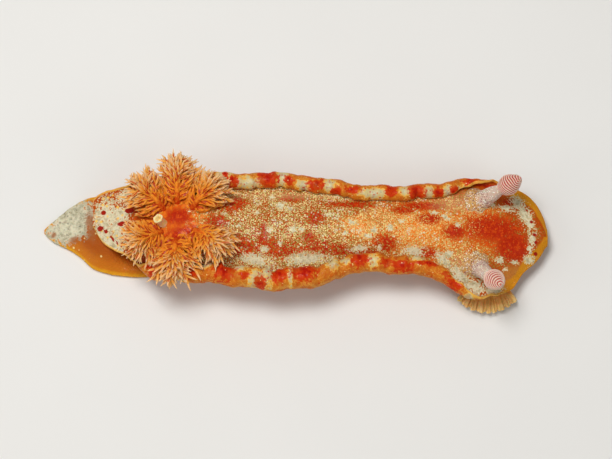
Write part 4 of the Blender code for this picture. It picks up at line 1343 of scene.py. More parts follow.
@dataclass
class Skin:
    """The whole body's flesh as one closed skin with its markings."""

    form: BodyForm
    crown: Vector
    markings: Markings = Markings()
    finish: SkinFinish = SkinFinish()
    station: float = 0.5 * MM
    collar_height: float = 0.54 * MM
    collar_radius: float = 2.9 * MM
    collar_width: float = 0.9 * MM
    collar_floor: float = 0.4
    lump_size: float = 1.7 * MM
    lump_height: float = 0.16 * MM
    lump_margin: tuple[float, float] = (1 * MM, 4 * MM)
    round_ends: float = 3 * MM
    end_steps: int = 12
    ray_count: int = 11
    ray_twist: float = 3 * MM
    rays_begin: tuple[float, float] = (1.5 * MM, 4 * MM)
    rays_end: tuple[float, float] = (6 * MM, 9 * MM)
    speck_margin: tuple[float, float] = (2 * MM, 9 * MM)
    brim_begins: tuple[float, float] = (47.5 * MM, 51 * MM)
    lip_ends: tuple[float, float] = (-43 * MM, -38 * MM)
    carried: tuple[str, ...] = ("from_edge", "under", "foot")

    def stations(self, start: float, end: float) -> np.ndarray:
        """Places along the body that crowd together at both ends.

        Args:
            start: the first place.
            end: the last place.

        Returns:
            The places, in order.
        """
        few = np.sin(np.linspace(0, math.pi / 2, self.end_steps, endpoint=False))
        first, last = start + self.round_ends, end - self.round_ends
        inner = np.linspace(first, last, round((last - first) / self.station) + 1)
        before = first - self.round_ends * few[::-1]
        after = last + self.round_ends * few
        return np.concatenate([[start], before[:-1], inner, after[1:], [end]])

    def wrapped(
        self, name: str, outline: Callable[[float], tuple[np.ndarray, np.ndarray]],
        places: np.ndarray, foot: float,
    ) -> bpy.types.Object:
        """Wraps a closed surface through outlines.

        Args:
            name: the object's name.
            outline: gives the outline and its traits at a place along the body.
            places: the places along the body.
            foot: whether this is the foot, as the number that its points keep.

        Returns:
            The new object.
        """
        outlines = [outline(float(x)) for x in places]
        rings = [np.insert(ring, 0, x, axis=1) for x, (ring, _) in zip(places, outlines)]
        traits = np.array([trait for _, trait in outlines])
        values = (traits[:, :, 0], traits[:, :, 1], np.full(traits.shape[:2], foot))
        return wrapped_grid(name, np.array(rings), dict(zip(self.carried, values)))

    def build(self, bases: Sequence[Vector]) -> bpy.types.Object:
        """Builds the skin.

        Args:
            bases: where the rhinophores leave the head.

        Returns:
            The finished piece.
        """
        form = self.form
        places = self.stations(form.mantle_rear, form.mantle_front)
        mantle = self.wrapped("slug_skin", form.mantle_ring, places, 0.0)
        places = self.stations(form.tail_tip, form.foot_front)
        foot = self.wrapped("foot", form.foot_ring, places, 1.0)
        parts = [part.data for part in (mantle, foot)]
        known = np.concatenate([coordinates(mesh) for mesh in parts])
        values = np.concatenate([
            np.stack([get_trait(mesh, name) for name in self.carried], 1) for mesh in parts
        ])
        joined_by_boolean(mantle, foot)
        self.carry_traits(mantle.data, known, values)
        self.raise_collars(mantle.data, bases)
        self.pucker(mantle.data)
        self.mark(mantle.data)
        return finished(mantle, self.finish.material(), 70)

    def carry_traits(self, mesh: bpy.types.Mesh, known: np.ndarray, values: np.ndarray) -> None:
        """Gives the united mesh the traits of the nearest points of the parts it came from.

        Args:
            mesh: the united mesh.
            known: the parts' points.
            values: the traits at each of them, in the order of carried.
        """
        tree = KDTree(len(known))
        for index, place in enumerate(known):
            tree.insert(place, index)
        tree.balance()
        nearest = [tree.find(vertex.co)[1] for vertex in mesh.vertices]
        for column, name in enumerate(self.carried):
            set_trait(mesh, name, values[nearest, column])

    def upper(self, mesh: bpy.types.Mesh) -> np.ndarray:
        """Whether each point is on the mantle's upper face."""
        return (get_trait(mesh, "under") <= 0.4) & (get_trait(mesh, "foot") <= 0.5)

    def raise_collars(self, mesh: bpy.types.Mesh, bases: Sequence[Vector]) -> None:
        """Swells the skin into a low collar round each rhinophore's base.

        Args:
            mesh: the skin.
            bases: where the rhinophores leave the head.
        """
        places, upper = coordinates(mesh), self.upper(mesh)
        for base in bases:
            distance = np.hypot(places[:, 0] - base.x, places[:, 1] - base.y)
            swell = np.exp(-(((distance - self.collar_radius) / self.collar_width) ** 2))
            full = self.collar_floor + (1 - self.collar_floor) * swell
            inside = np.where(distance < self.collar_radius, full, swell)
            places[:, 2] += np.where(upper, inside * self.collar_height, 0.0)
        set_coordinates(mesh, places)

    def pucker(self, mesh: bpy.types.Mesh) -> None:
        """Gives the back low soft lumps, none at its edge."""
        places = coordinates(mesh)
        inward = smooth_step(get_trait(mesh, "from_edge"), *self.lump_margin)
        lumps = np.array([noise.noise(Vector(place) / self.lump_size) for place in places])
        height = np.where(self.upper(mesh), lumps * inward * self.lump_height, 0.0)
        set_coordinates(mesh, places + directions(mesh) * height[:, None])

    def streaks(self, places: np.ndarray) -> np.ndarray:
        """How strong the pale rays are that spread from the middle of the gill crown."""
        east, north = places[:, 0] - self.crown.x, places[:, 1] - self.crown.y
        bearing, distance = np.arctan2(north, east), np.hypot(east, north)
        uneven = 2.2 * np.sin(3 * bearing + 1) + distance / self.ray_twist
        rays = 0.5 + 0.5 * np.cos(self.ray_count * bearing + uneven)
        return rays * smooth_step(distance, *self.rays_begin) * (1 - smooth_step(distance, *self.rays_end))

    def mark(self, mesh: bpy.types.Mesh) -> None:
        """Keeps the strength of each kind of marking at every point.

        Args:
            mesh: the skin.
        """
        places, marks, back = coordinates(mesh), self.markings, self.upper(mesh)
        foot = get_trait(mesh, "foot") > 0.5
        below, left = ~back & ~foot, places[:, 1] > 0
        lit = smooth_step(directions(mesh)[:, 2], -0.4, 0.15)
        zones = ((back, 1.0), (below & left, lit), (below & ~left, lit), (foot, 1.0))
        for kind, lists in marks.kinds():
            total = np.zeros(len(places))
            for (zone, shown), listed in zip(zones, lists):
                for patch in listed:
                    strength = patch.strength(places[:, 0], places[:, 1]) * shown
                    total = np.where(zone, np.maximum(total, strength), total)
            set_trait(mesh, kind.value, total)
        along = places[:, 0]
        speck = np.array([marks.speck_back.at(x / MM) for x in along])
        speck = speck * smooth_step(get_trait(mesh, "from_edge"), *self.speck_margin)
        set_trait(mesh, Mark.SPECK.value, np.where(back, speck, 0.0))
        set_trait(mesh, "streak", np.where(back, self.streaks(places), 0.0))
        set_trait(mesh, "ahead", smooth_step(along, *self.brim_begins))
        set_trait(mesh, "lip", 1 - smooth_step(along, *self.lip_ends))


# The gills


@dataclass
class Gill:
    """One plume: a stem that arches up and out, with side branches that carry fine leaves."""

    form: BodyForm
    index: int
    bearing: float
    length: float
    sector: tuple[float, float]
    crown: Vector
    ring: float
    rise: float = 4.4 * MM
    sunk: float = 1.0 * MM
    stem_droop: float = 1.4 * MM
    stem_radii: tuple[float, ...] = (1.0 * MM, 0.7 * MM, 0.5 * MM, 0.3 * MM)
    stem_steps: int = 9
    branch_count: int = 23
    branch_start: float = 0.03
    branch_length: float = 5.2 * MM
    branch_least: float = 0.7
    branch_swell: float = 0.5
    branch_radii: tuple[float, ...] = (0.6 * MM, 0.95 * MM, 0.95 * MM, 0.7 * MM, 0.2 * MM)
    branch_thin: float = 0.22
    branch_swing: float = 0.08
    branch_lengths: tuple[float, float] = (0.85, 1.1)
    branch_lift: tuple[float, float] = (0.3, 1.0)
    upper_lift: float = 0.9
    branch_sag: float = 0.9 * MM
    branch_sway: float = 0.9 * MM
    branch_room: float = 0.35 * MM
    hands: tuple[float, ...] = (1, -1, 0.3, -1, 1, -0.3)
    outer_slimness: float = 0.45
    spread: tuple[float, float] = (86.0, 24.0)
    full_sector: float = math.radians(30)
    leaf_count: int = 9
    leaf_start: float = 0.12
    leaf_run: float = 0.86
    leaf_length: float = 2.5 * MM
    outer_leaves: float = 1.35
    orange_reach: float = 5.5 * MM
    pale_reach: float = 13.0 * MM
    foot_paleness: tuple[float, float] = (0.15, 0.25)
    tip_paleness: tuple[float, float] = (0.15, 0.55)
    leaf_radii: tuple[float, ...] = (0.16 * MM, 0.26 * MM, 0.30 * MM, 0.28 * MM, 0.22 * MM, 0.13 * MM,
                                     0.02 * MM)
    leaf_thin: float = 0.4
    leaf_lengths: tuple[float, float] = (0.6, 1.2)
    leaf_ahead: tuple[float, float] = (0.9, 1.6)
    leaf_aside: tuple[float, float] = (0.25, 0.9)
    leaf_lift: tuple[float, float] = (-0.15, 0.3)
    leaf_curl: tuple[float, float] = (-0.1, 0.2)
    leaf_sweep: tuple[float, float] = (-0.35, 0.2)
    leaf_room: float = 0.15 * MM
    clearance: float = 0.35 * MM
    vein_every: int = 3
    vein_end: float = 0.7
    vein_above: float = 0.9

    def __post_init__(self) -> None:
        """Works out the plume's directions and seeds its draws."""
        self.draw = random.Random(300 + self.index).uniform
        self.out = np.array([math.cos(self.bearing), math.sin(self.bearing), 0.0])
        self.across = np.array([-self.out[1], self.out[0], 0.0])
        foot = np.array(self.crown) + self.out * self.ring
        self.foot_height = self.form.back_height(foot[0], foot[1])

    def stem(self, share: float) -> np.ndarray:
        """A point of the stem, from its sunken foot at 0 to its tip at 1."""
        height = self.foot_height - self.sunk
        height += (self.rise + self.sunk) * (1 - (1 - share) ** 2) - self.stem_droop * share**3
        place = np.array(self.crown) + self.out * (self.ring + self.length * share**1.2)
        return np.array([place[0], place[1], height])

    def roof(self, x: float, y: float) -> float:
        """The height that a filament keeps above at a place.

        Args:
            x: the place along the body.
            y: the place across it.

        Returns:
            The height of the back or of the roll there, or 0 beside the body.
        """
        form = self.form
        out = y - form.middle.at(x)
        side = Side.LEFT if out > 0 else Side.RIGHT
        if abs(out) > form.reach_at(side, x) + form.skirt_thick:
            return 0.0
        if abs(out) < form.root_at(side, x) - form.roll_radius.on(side).at(x):
            return form.back_height(x, y)
        return float(form.sheet(side, x).upper[:, 1].max()) + form.skirt_thick

    def kept_clear(self, place: np.ndarray, room: float) -> np.ndarray:
        """Moves a place into this plume's own sector and above what lies under it.

        Args:
            place: the place.
            room: how far it keeps from the sector's sides.

        Returns:
            The place that it moves to.
        """
        offset = place - np.array(self.crown)
        distance = max(math.hypot(offset[0], offset[1]), 1e-6)
        swing = (math.atan2(offset[1], offset[0]) - self.bearing + math.pi) % (2 * math.pi) - math.pi
        side = room / distance
        swing = max(self.sector[0] + side, min(self.sector[1] - side, swing))
        x = self.crown.x + distance * math.cos(self.bearing + swing)
        y = self.crown.y + distance * math.sin(self.bearing + swing)
        return np.array([x, y, max(place[2], self.roof(x, y) + self.clearance)])

    def branch(self, number: int) -> np.ndarray:
        """The path of one side branch.

        Args:
            number: which branch, counted from the stem's foot.

        Returns:
            Its (x, y, z) points from the stem outward.
        """
        share = self.branch_start + (1 - self.branch_start) * number / (self.branch_count - 1)
        hand = self.hands[number % len(self.hands)] * (number < self.branch_count - 1)
        spread = math.radians(self.spread[0] + (self.spread[1] - self.spread[0]) * share) * hand
        spread *= min(1.0, abs(self.sector[hand > 0]) / self.full_sector)
        spread += self.draw(-self.branch_swing, self.branch_swing)
        ahead = self.out * math.cos(spread) + self.across * math.sin(spread)
        swell = self.branch_least + self.branch_swell * math.sin(math.pi * share)
        length = self.branch_length * swell
        length *= self.draw(*self.branch_lengths)
        start = self.stem(share)
        lift = (self.draw(*self.branch_lift) + (abs(hand) < 1) * self.upper_lift) * MM
        sway = self.draw(-1, 1) * self.branch_sway * np.cross(ahead, (0, 0, 1.0))
        path = [start]
        for step in (0.2, 0.4, 0.6, 0.8, 1.0):
            rise = lift * math.sin(math.pi * step) - self.branch_sag * step * step
            place = start + ahead * length * step + np.array([0, 0, rise])
            place = place + sway * math.sin(1.5 * math.pi * step)
            path.append(self.kept_clear(place, self.branch_room))
        return np.array(path)

    def leaf(self, foot: np.ndarray, ahead: np.ndarray, aside: np.ndarray, longest: float) -> np.ndarray:
        """The path of one fine leaf.

        Args:
            foot: where it leaves its branch.
            ahead: the way that the branch runs there.
            aside: the way out from the branch, on the leaf's side.
            longest: the length that it varies about.

        Returns:
            Its (x, y, z) points.
        """
        up = np.array([0, 0, 1.0])
        lift = up * self.draw(*self.leaf_lift)
        direction = ahead * self.draw(*self.leaf_ahead) + aside * self.draw(*self.leaf_aside) + lift
        direction /= np.linalg.norm(direction)
        length = longest * self.draw(*self.leaf_lengths)
        curl = up * self.draw(*self.leaf_curl) * length
        curl = curl + aside * self.draw(*self.leaf_sweep) * length
        path = [foot]
        for step in (0.25, 0.5, 0.75, 1.0):
            place = foot + direction * length * step + curl * step**2.5
            path.append(self.kept_clear(place, self.leaf_room))
        return np.array(path)

    def leaves(self, path: np.ndarray, share: float) -> list[np.ndarray]:
        """The paths of the fine leaves along a branch.

        Args:
            path: the branch's points.
            share: how far along the stem the branch leaves it, from 0 to 1.

        Returns:
            The path of each leaf.
        """
        made = []
        longest = self.leaf_length * (1 + (self.outer_leaves - 1) * share)
        for number in range(self.leaf_count):
            along = self.leaf_start + self.leaf_run * number / (self.leaf_count - 1)
            step = along * (len(path) - 1)
            near = min(int(step), len(path) - 2)
            ahead = path[near + 1] - path[near]
            foot = path[near] + ahead * (step - near)
            ahead = ahead / (np.linalg.norm(ahead) + 1e-12)
            aside = np.cross(ahead, (0, 0, 1.0)) * (-1) ** number
            made.append(self.leaf(foot, ahead, aside, longest))
        return made

    def paleness(self, places: np.ndarray, along: np.ndarray) -> np.ndarray:
        """How pale the flesh is: towards a leaf's tip, and more so far from the crown.

        Args:
            places: the points of one limb.
            along: how far each is along that limb, from 0 to 1.

        Returns:
            A number from 0 to 1 for each.
        """
        distance = np.hypot(places[:, 0] - self.crown.x, places[:, 1] - self.crown.y)
        far = smooth_step(distance, self.orange_reach, self.pale_reach)
        foot = self.foot_paleness[0] + self.foot_paleness[1] * far
        return foot + along * (self.tip_paleness[0] + self.tip_paleness[1] * far)

    def add_leaves(self, bundle: Bundle, leaf: Limb, path: np.ndarray, share: float) -> None:
        """Adds the leaves along a branch, some with a vein.

        Args:
            bundle: the plume so far.
            leaf: the rod for the leaves.
            path: the branch's points.
            share: how far along the stem the branch leaves it, from 0 to 1.
        """
        height, top = leaf.places[:, 2], leaf.places[:, 1] > self.vein_above
        for order, points in enumerate(self.leaves(path, share)):
            blade = leaf.bent(points, self.leaf_radii, self.leaf_thin)
            vein = top * (height < self.vein_end) * (order % self.vein_every == 0)
            bundle.add(blade, leaf.faces, out=self.paleness(blade, height), vein=vein)

    def build(self, limb: Limb, leaf: Limb, material: bpy.types.Material) -> bpy.types.Object:
        """Joins the stem, branches and leaves.

        Args:
            limb: the rod for the stem and branches.
            leaf: the rod for the leaves.
            material: the plume's finish.

        Returns:
            The finished piece.
        """
        bundle = Bundle()
        height, top = limb.places[:, 2], limb.places[:, 1] > self.vein_above
        stem = np.array([self.stem(share) for share in np.linspace(0, 1, self.stem_steps)])
        rod = limb.bent(stem, self.stem_radii)
        bundle.add(rod, limb.faces, out=height * 0.25, vein=np.zeros(len(rod)))
        self.add_leaves(bundle, leaf, stem, 0.0)
        for number in range(self.branch_count):
            path = self.branch(number)
            share = number / (self.branch_count - 1)
            slim = 1 - (1 - self.outer_slimness) * share
            rod = limb.bent(path, tuple(radius * slim for radius in self.branch_radii), self.branch_thin)
            bundle.add(rod, limb.faces, out=self.paleness(rod, height * 0.5), vein=top)
            self.add_leaves(bundle, leaf, path, share)
        return finished(bundle.build(f"gill_plume_{self.index + 1}"), material)


@dataclass
class GillCrown:
    """The ring of six gill plumes and the tube in its middle that the gut ends in."""

    form: BodyForm
    centre: Vector = field(default_factory=lambda: Vector((-28 * MM, 2.4 * MM, 0)))
    ring: float = 4.6 * MM
    bearings: tuple[float, ...] = (42, 91, 137, -146, -93, -32)
    plume_lengths: tuple[float, ...] = (5.4, 6.8, 6.0, 4.6, 7.0, 5.8)
    sectors: tuple[tuple[float, float], ...] = (
        (-24, 24), (-25, 23), (-23, 34), (-34, 26), (-27, 30), (-30, 20),
    )
    limb_sides: int = 10
    limb_rings: int = 9
    leaf_sides: int = 8
    leaf_rings: int = 7
    finish: GillFinish = GillFinish()
    tube_foot: Vector = field(default_factory=lambda: Vector((-31.6 * MM, 1.9 * MM, 0)))
    tube_lean: Vector = field(default_factory=lambda: Vector((-0.3, 0.15, 1)).normalized())
    tube_length: float = 3.4 * MM
    tube_radius: float = 1.15 * MM
    tube_columns: int = 40
    tube_finish: PlainFleshFinish = PlainFleshFinish(
        "papilla flesh", (0.80, 0.54, 0.18), (0.80, 0.62, 0.34), (0.90, 0.74, 0.36)
    )

    def build(self) -> None:
        material = self.finish.material()
        limb, leaf = Limb(self.limb_sides, self.limb_rings), Limb(self.leaf_sides, self.leaf_rings)
        for index, (bearing, length) in enumerate(zip(self.bearings, self.plume_lengths)):
            before, after = (math.radians(swing) for swing in self.sectors[index])
            gill = Gill(self.form, index, math.radians(bearing), length * MM, (before, after),
                        self.centre, self.ring)
            declare(gill.build(limb, leaf, material), [f"gill_{index + 1}"])
        declare(self.build_tube(), ["anal_papilla"])

    def build_tube(self) -> bpy.types.Object:
        """The tube, with a fluted rim round its opening."""
        heights = (-0.4, -0.1, 0.1, 0.3, 0.5, 0.7, 0.85, 0.95, 1.0, 0.96, 0.85, 0.7, 0.6)
        widths = (1.1, 1.05, 1.0, 0.92, 0.84, 0.86, 0.93, 0.97, 0.86, 0.66, 0.5, 0.42, 0.1)
        turn = full_turn(self.tube_columns)
        rings = []
        for height, width in zip(heights, widths):
            flute = 1 + max(0.0, height) * (0.05 * np.cos(5 * turn) + 0.08 * np.cos(2 * turn + 1))
            rings.append(hoop(self.tube_radius * width * flute, turn, height * self.tube_length))
        out = np.repeat(np.clip(np.array(heights), 0, 1)[:, None], len(turn), 1)
        obj = wrapped_grid("papilla", np.array(rings), {"out": out})
        foot = self.tube_foot
        stand(obj, Vector((foot.x, foot.y, self.form.back_height(foot.x, foot.y))), self.tube_lean)
        return finished(obj, self.tube_finish.material())


# The head


@dataclass
class Rhinophore:
    """One rhinophore: a collar, a speckled stalk and a club of slanting lamellae."""

    form: BodyForm
    side: Side
    foot: Vector
    lean: Vector
    stalk_length: float = 7.2 * MM
    stalk_radii: tuple[float, float] = (2.05 * MM, 1.2 * MM)
    club_length: float = 6.2 * MM
    club_radius: float = 2.5 * MM
    club_widest: float = 0.4
    club_narrowing: float = 0.34
    club_rounding: float = 1.25
    club_bluntness: float = 0.12
    club_end: float = 9.0
    club_least: float = 0.05 * MM
    lamella_count: int = 13
    lamella_depth: float = 0.3 * MM
    lamella_slant: float = 0.55
    lamella_bearing: float = 0.0
    lamella_slant_turns: float = 1.6
    lamella_wobble: float = 0.7
    lamella_waves: tuple[tuple[float, int, int], ...] = ((0.2, 3, 9), (0.12, 5, -4))
    lamella_sharpness: float = 0.8
    lamella_gap: float = 0.09
    lamella_gap_depth: float = 0.85
    rows: int = 190
    columns: int = 120
    stalk_shape: tuple[tuple[float, float], ...] = ((-0.4, 1.2), (0.1, 1.17), (0.3, 1.0), (0.6, 0.88))
    stalk_waves: tuple[tuple[float, int, int], ...] = ((0.02, 5, 11), (0.015, 9, -17))
    stalk_rows: int = 60
    stalk_columns: int = 40
    collar_height: float = 1.5 * MM
    collar_wall: float = 0.5 * MM
    collar_shape: tuple[tuple[float, float], ...] = (
        (0, -0.8), (0, 0.4), (0.12, 0.9), (0.4, 1.0), (0.8, 0.82), (1.3, 0.5), (2.0, 0.2),
        (2.9, -0.02), (3.4, -0.3), (2.5, -0.8), (0, -0.8),
    )
    collar_flute: float = 0.06 * MM
    collar_columns: int = 56
    collar_tone: float = 0.1

    def base(self) -> Vector:
        """Where the stalk leaves the head."""
        return Vector((self.foot.x, self.foot.y, self.form.back_height(self.foot.x, self.foot.y)))

    def club_size(self, share: float) -> float:
        """The club's radius at a share of its height, without its lamellae."""
        wide = (1 - share) * self.club_rounding + self.club_bluntness
        round_top = math.sin(math.pi * min(1.0, wide) / 2)
        end = min(1.0, math.sqrt(max(0.0, 1 - share) * self.club_end))
        below = max(0.0, (self.club_widest - share) / self.club_widest) ** 2
        return self.club_radius * round_top * end * (1 - self.club_narrowing * below)

    def club_heights(self) -> np.ndarray:
        """The club's rows as shares of its height, even along its outline."""
        even = np.linspace(0, 0.999, 400)
        sizes = np.array([self.club_size(share) for share in even])
        steps = np.hypot(np.diff(sizes), np.diff(even) * self.club_length)
        along = np.concatenate([[0.0], np.cumsum(steps)]) / steps.sum()
        return np.interp(np.linspace(0, 1, self.rows), along, even)

    def build_club(self, material: bpy.types.Material) -> bpy.types.Object:
        """The club, its lamellae raised from one closed surface.

        Args:
            material: the club's finish.

        Returns:
            The finished piece.
        """
        turn = full_turn(self.columns)
        middle = 1 - self.lamella_gap_depth * np.exp(-((np.sin(turn / 2) / self.lamella_gap) ** 2))
        rings, crests = [], []
        for covered, share in zip(np.linspace(0, 1, self.rows), self.club_heights()):
            radius = self.club_size(float(share))
            wobble = sum(
                high * np.sin(count * turn + twist * covered) for high, count, twist in self.lamella_waves
            )
            bearing = np.cos(turn - self.lamella_bearing)
            slant = self.lamella_slant * radius / self.club_radius * bearing * self.lamella_slant_turns
            phase = covered * self.lamella_count + slant + wobble * self.lamella_wobble
            crest = (0.5 + 0.5 * np.cos(2 * math.pi * phase)) ** self.lamella_sharpness
            fade = smooth_step(covered, 0.0, 0.05) * (1 - 0.8 * smooth_step(covered, 0.96, 1.0))
            groove = self.lamella_depth * fade * middle * (1 - crest)
            wide = np.maximum(radius - groove, self.club_least)
            rings.append(hoop(wide, turn, share * self.club_length))
            crests.append(1 - fade * middle * (1 - crest))
        name = f"rhinophore_club_{self.side.name.lower()}"
        obj = wrapped_grid(name, np.array(rings), {"crest": np.array(crests)})
        stand(obj, self.base() + self.lean * (self.stalk_length + self.form.gap), self.lean)
        return finished(obj, material)

    def build_stalk(self, material: bpy.types.Material) -> bpy.types.Object:
        """The stalk, from inside the head up into the club.

        Args:
            material: the stalk's finish.

        Returns:
            The finished piece.
        """
        turn = full_turn(self.stalk_columns)
        wide, narrow = self.stalk_radii
        shape = [(share, wide * swell) for share, swell in self.stalk_shape]
        size = Profile((*shape, (1.0, narrow)))
        shares = np.linspace(-0.3, 1.03, self.stalk_rows)
        rings = []
        for share in shares:
            lumps = sum(
                (high * np.sin(count * turn + twist * share) for high, count, twist in self.stalk_waves), 1
            )
            rings.append(hoop(size.at(share) * lumps, turn, share * self.stalk_length))
        rise = np.repeat(shares[:, None], len(turn), 1)
        name = f"rhinophore_stalk_{self.side.name.lower()}"
        obj = wrapped_grid(name, np.array(rings), {"rise": rise})
        stand(obj, self.base(), self.lean)
        return finished(obj, material)

    def build_collar(self, material: bpy.types.Material) -> bpy.types.Object:
        """The raised collar round the stalk's base, thin at its uneven rim.

        Args:
            material: the collar's finish.

        Returns:
            The finished piece.
        """
        turn = full_turn(self.collar_columns)
        rings = []
        for walls, share in self.collar_shape:
            flute = self.collar_flute * np.sin(7 * turn)
            radius = self.stalk_radii[0] + walls * self.collar_wall + flute
            uneven = 1 + 0.12 * np.sin(3 * turn + 1) * max(0.0, share)
            rings.append(hoop(radius, turn, share * self.collar_height * uneven))
        rise = np.full((len(rings), len(turn)), self.collar_tone)
        name = f"rhinophore_collar_{self.side.name.lower()}"
        obj = wrapped_grid(name, np.array(rings), {"rise": rise})
        stand(obj, self.base(), (self.lean * 1.4 + Vector((0, 0, 1))).normalized())
        return finished(obj, material)

    def build(self, club: bpy.types.Material, stalk: bpy.types.Material) -> None:
        side = self.side.name.lower()
        declare(self.build_club(club), [f"rhinophore_{side}_club"])
        declare(self.build_stalk(stalk), [f"rhinophore_{side}_stalk"])
        declare(self.build_collar(stalk), [f"rhinophore_{side}_sheath"])


@dataclass
class OralTentacle:
    """One oral tentacle: a thin frilled fan beside the mouth."""

    form: BodyForm
    side: Side
    length: float
    x: float = 45.4 * MM
    spread: float = math.radians(74)
    root_width: float = 3.6 * MM
    lobes: int = 9
    notch: float = 0.08
    rounding: float = 0.14
    sunk: float = 1.5 * MM
    thick: float = 0.36 * MM
    fold: float = 0.24 * MM
    ruffle: float = 0.3 * MM
    height: float = 3.4 * MM
    tilt: float = math.radians(8)
    rows: int = 30
    columns: int = 221

    def build(self, material: bpy.types.Material) -> bpy.types.Object:
        """Builds the fan as a sheet that Solidify thickens.

        Args:
            material: the fan's finish.

        Returns:
            The finished piece.
        """
        shares = np.linspace(0, 1, self.columns)
        angle = self.spread * (shares - 0.5)
        uneven = shares + 0.018 * np.sin(9 * shares + 1) + 0.012 * np.sin(23 * shares)
        around = math.pi * self.lobes * uneven
        notch = (1 - np.abs(np.sin(around))) ** 1.5 + 0.5 * (1 - np.abs(np.sin(2.6 * around + 1)))
        full = self.length * (1 - self.notch * notch)
        full = full * (1 - self.rounding * (1 - np.sin(math.pi * shares)))
        ray = np.cos(2 * around + math.pi)
        waves = np.sin(5.2 * around) + np.sin(3.1 * around)
        steps = np.linspace(0, 1, self.rows)
        rings = []
        for step in steps:
            reach = -self.sunk + (full + self.sunk) * step
            aside = self.root_width * (shares - 0.5) + np.clip(reach, 0, None) * np.sin(angle)
            ahead = np.where(reach > 0, reach * np.cos(angle), reach)
            fold = self.fold * (step**2 * ray * 0.5 + 1.6 * step * np.sin(15 * shares + 2))
            rings.append(np.stack([ahead, aside, fold + self.ruffle * step**4 * waves], 1))
        out = np.repeat(steps[:, None], self.columns, 1)
        name = f"oral_tentacle_{self.side.name.lower()}_fan"
        # The ray trait marks where the folds sink, and the finish paints shade there.
        obj = wrapped_grid(name, np.array(rings), {"out": out, "ray": out * ray}, tube=False)
        make_active(obj)
        solid = obj.modifiers.new("thickness", "SOLIDIFY")
        solid.thickness = self.thick
        solid.offset = 0.0
        bpy.ops.object.modifier_apply(modifier=solid.name)
        side = self.side.value
        root = Vector((self.x, side * self.form.flank.on(self.side).at(self.x), self.height))
        turn = Matrix.Rotation(side * math.pi / 2, 4, "Z") @ Matrix.Rotation(self.tilt, 4, "Y")
        obj.data.transform(Matrix.Translation(root) @ turn)
        return finished(obj, material, 60)


@dataclass
class Mouth:
    """The round lips under the front of the mantle, drawn in at their middle."""

    form: BodyForm
    radius: float = 2.1 * MM
    depth: float = 1.4 * MM
    height: float = 3.9 * MM
    squash: float = 0.42
    pleats: int = 18
    pleat_depth: float = 0.05
    outline: tuple[tuple[float, float], ...] = (
        (0.04, 0.1), (0.12, 0.2), (0.25, 0.45), (0.38, 0.85), (0.55, 1.0), (0.75, 0.95), (0.92, 0.7),
        (1.0, 0.3), (1.0, 0.0), (0.9, -0.3), (0.04, -0.35),
    )
    columns: int = 72

    def build(self, material: bpy.types.Material) -> bpy.types.Object:
        """Builds the lips.

        Args:
            material: the lips' finish.

        Returns:
            The finished piece.
        """
        turn = full_turn(self.columns)
        rings = []
        for wide, deep in self.outline:
            pleat = 1 + self.pleat_depth * np.cos(self.pleats * turn) * smooth_step(deep, 0.1, 0.8)
            rings.append(hoop(self.radius * wide * pleat, turn, deep * self.depth))
        out = np.repeat(np.array([[max(0.0, deep)] for _, deep in self.outline]), len(turn), 1)
        obj = wrapped_grid("lips", np.array(rings), {"out": out})
        front = self.form.trunk_front + self.form.gap / 2
        stand(obj, Vector((front, 0, self.height)), Vector((1, 0, 0)))
        middle = Matrix.Translation((0, 0, self.height))
        obj.data.transform(middle @ Matrix.Diagonal((1, 1, self.squash, 1)) @ middle.inverted())
        return finished(obj, material)


@dataclass
class Head:
    """What the head carries: the rhinophores, the oral tentacles and the mouth."""

    form: BodyForm
    rhinophores: tuple[Rhinophore, ...] = field(init=False)
    tentacle_lengths: tuple[float, float] = (5.6 * MM, 10.6 * MM)
    tentacle_finish: PlainFleshFinish = PlainFleshFinish(
        "tentacle flesh", (0.70, 0.30, 0.055), (0.78, 0.40, 0.10), (0.86, 0.58, 0.22)
    )
    lip_finish: PlainFleshFinish = PlainFleshFinish(
        "lip flesh", (0.62, 0.20, 0.03), (0.56, 0.12, 0.015), (0.72, 0.38, 0.12)
    )

    def __post_init__(self) -> None:
        """Sets the two rhinophores where they grow."""
        self.rhinophores = (
            Rhinophore(self.form, Side.LEFT, Vector((43.3 * MM, 7.9 * MM, 0)),
                       Vector((0.69, 0.25, 0.68)).normalized()),
            Rhinophore(self.form, Side.RIGHT, Vector((42.6 * MM, -7.9 * MM, 0)),
                       Vector((0.355, -0.51, 0.78)).normalized(), lamella_slant=1.0,
                       lamella_bearing=math.pi / 2, lamella_wobble=0.4),
        )

    def build(self) -> None:
        """Builds and declares every piece of the head."""
        club, stalk = ClubFinish().material(), StalkFinish().material()
        for rhinophore in self.rhinophores:
            rhinophore.build(club, stalk)
        fan = self.tentacle_finish.material()
        for side, length in zip(Side, self.tentacle_lengths):
            piece = OralTentacle(self.form, side, length).build(fan)
            declare(piece, [f"oral_tentacle_{side.name.lower()}"])
        declare(Mouth(self.form).build(self.lip_finish.material()), ["mouth"])


# The studio


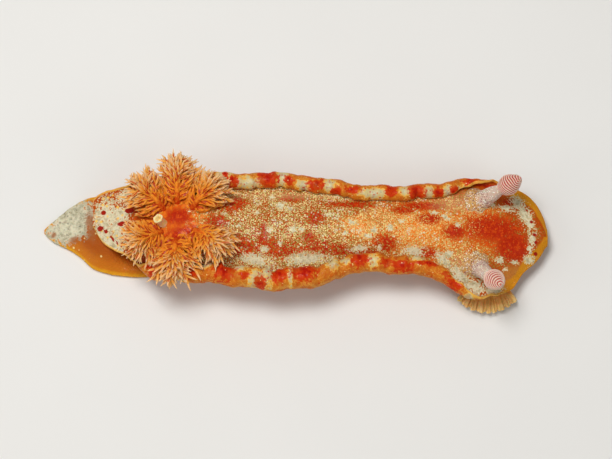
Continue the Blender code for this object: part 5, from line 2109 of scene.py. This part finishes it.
@dataclass(frozen=True)
class Studio:
    """A pale floor, soft lights and the camera at the photograph's angle."""

    elevation: float = math.radians(76)
    distance: float = 600 * MM
    target: tuple[float, float, float] = (2.27 * MM, 2.11 * MM, 5 * MM)
    frame_width: float = 146.0 * MM
    sensor: float = 36.0
    floor_size: float = 8.0
    lamps: tuple[tuple[str, tuple[float, float, float], float, float], ...] = (
        ("key", (-0.12, 0.10, 0.66), 0.24, 3.1),
        ("fill", (0.45, -0.40, 0.50), 0.50, 0.8),
        ("rim", (-0.50, -0.20, 0.35), 0.35, 0.6),
    )
    air: tuple[float, float, float, float] = (1.0, 0.97, 0.93, 1.0)
    air_strength: float = 0.24
    finish: FloorFinish = FloorFinish()

    def build(self) -> None:
        """Builds the floor, the lights and the camera."""
        clear_selection()
        bpy.ops.mesh.primitive_plane_add(size=self.floor_size)
        floor = bpy.context.object
        floor.name = "studio_floor"
        dress(floor, self.finish.material())
        for name, place, size, power in self.lamps:
            self.light(name, place, size, power)
        world = bpy.data.worlds.new("studio")
        world.use_nodes = True
        background = world.node_tree.nodes["Background"]
        background.inputs["Color"].default_value = self.air
        background.inputs["Strength"].default_value = self.air_strength
        bpy.context.scene.world = world
        bpy.context.scene.view_settings.view_transform = "Standard"
        self.aim_camera()

    def light(self, name: str, place: tuple[float, float, float], size: float, power: float) -> None:
        """Adds one square soft light, aimed at the slug.

        Args:
            name: the light's name.
            place: where it stands, in metres.
            size: its side, in metres.
            power: its power in watts.
        """
        data = bpy.data.lights.new(name, "AREA")
        data.size = size
        data.energy = power
        lamp = bpy.data.objects.new(name, data)
        lamp.location = place
        lamp.rotation_mode = "QUATERNION"
        lamp.rotation_quaternion = (Vector(self.target) - lamp.location).to_track_quat("-Z", "Y")
        bpy.context.scene.collection.objects.link(lamp)

    def aim_camera(self) -> None:
        """Sets the camera over the slug's right side, as high above the floor as in the photograph."""
        data = bpy.data.cameras.new("camera")
        data.sensor_width = self.sensor
        data.lens = self.sensor * self.distance / self.frame_width
        data.clip_start = 0.01
        camera = bpy.data.objects.new("camera", data)
        back = Vector((0, -math.cos(self.elevation), math.sin(self.elevation)))
        camera.location = Vector(self.target) + back * self.distance
        camera.rotation_mode = "QUATERNION"
        camera.rotation_quaternion = (-back).to_track_quat("-Z", "Y")
        bpy.context.scene.collection.objects.link(camera)
        bpy.context.scene.camera = camera


def main() -> None:
    """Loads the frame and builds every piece."""
    logging.basicConfig(level=logging.INFO, format="%(name)s: %(message)s")
    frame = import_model()
    form = BodyForm()
    head = Head(form)
    Studio().build()
    gills = GillCrown(form)
    skin = Skin(form, gills.centre).build([rhinophore.base() for rhinophore in head.rhinophores])
    flesh = [name for name in frame["nodes"] if name.split("_")[0] in ("back", "foot", "mantle")]
    declare(skin, [*flesh, "head", "tail"])
    head.build()
    gills.build()


if __name__ == "__main__":
    main()
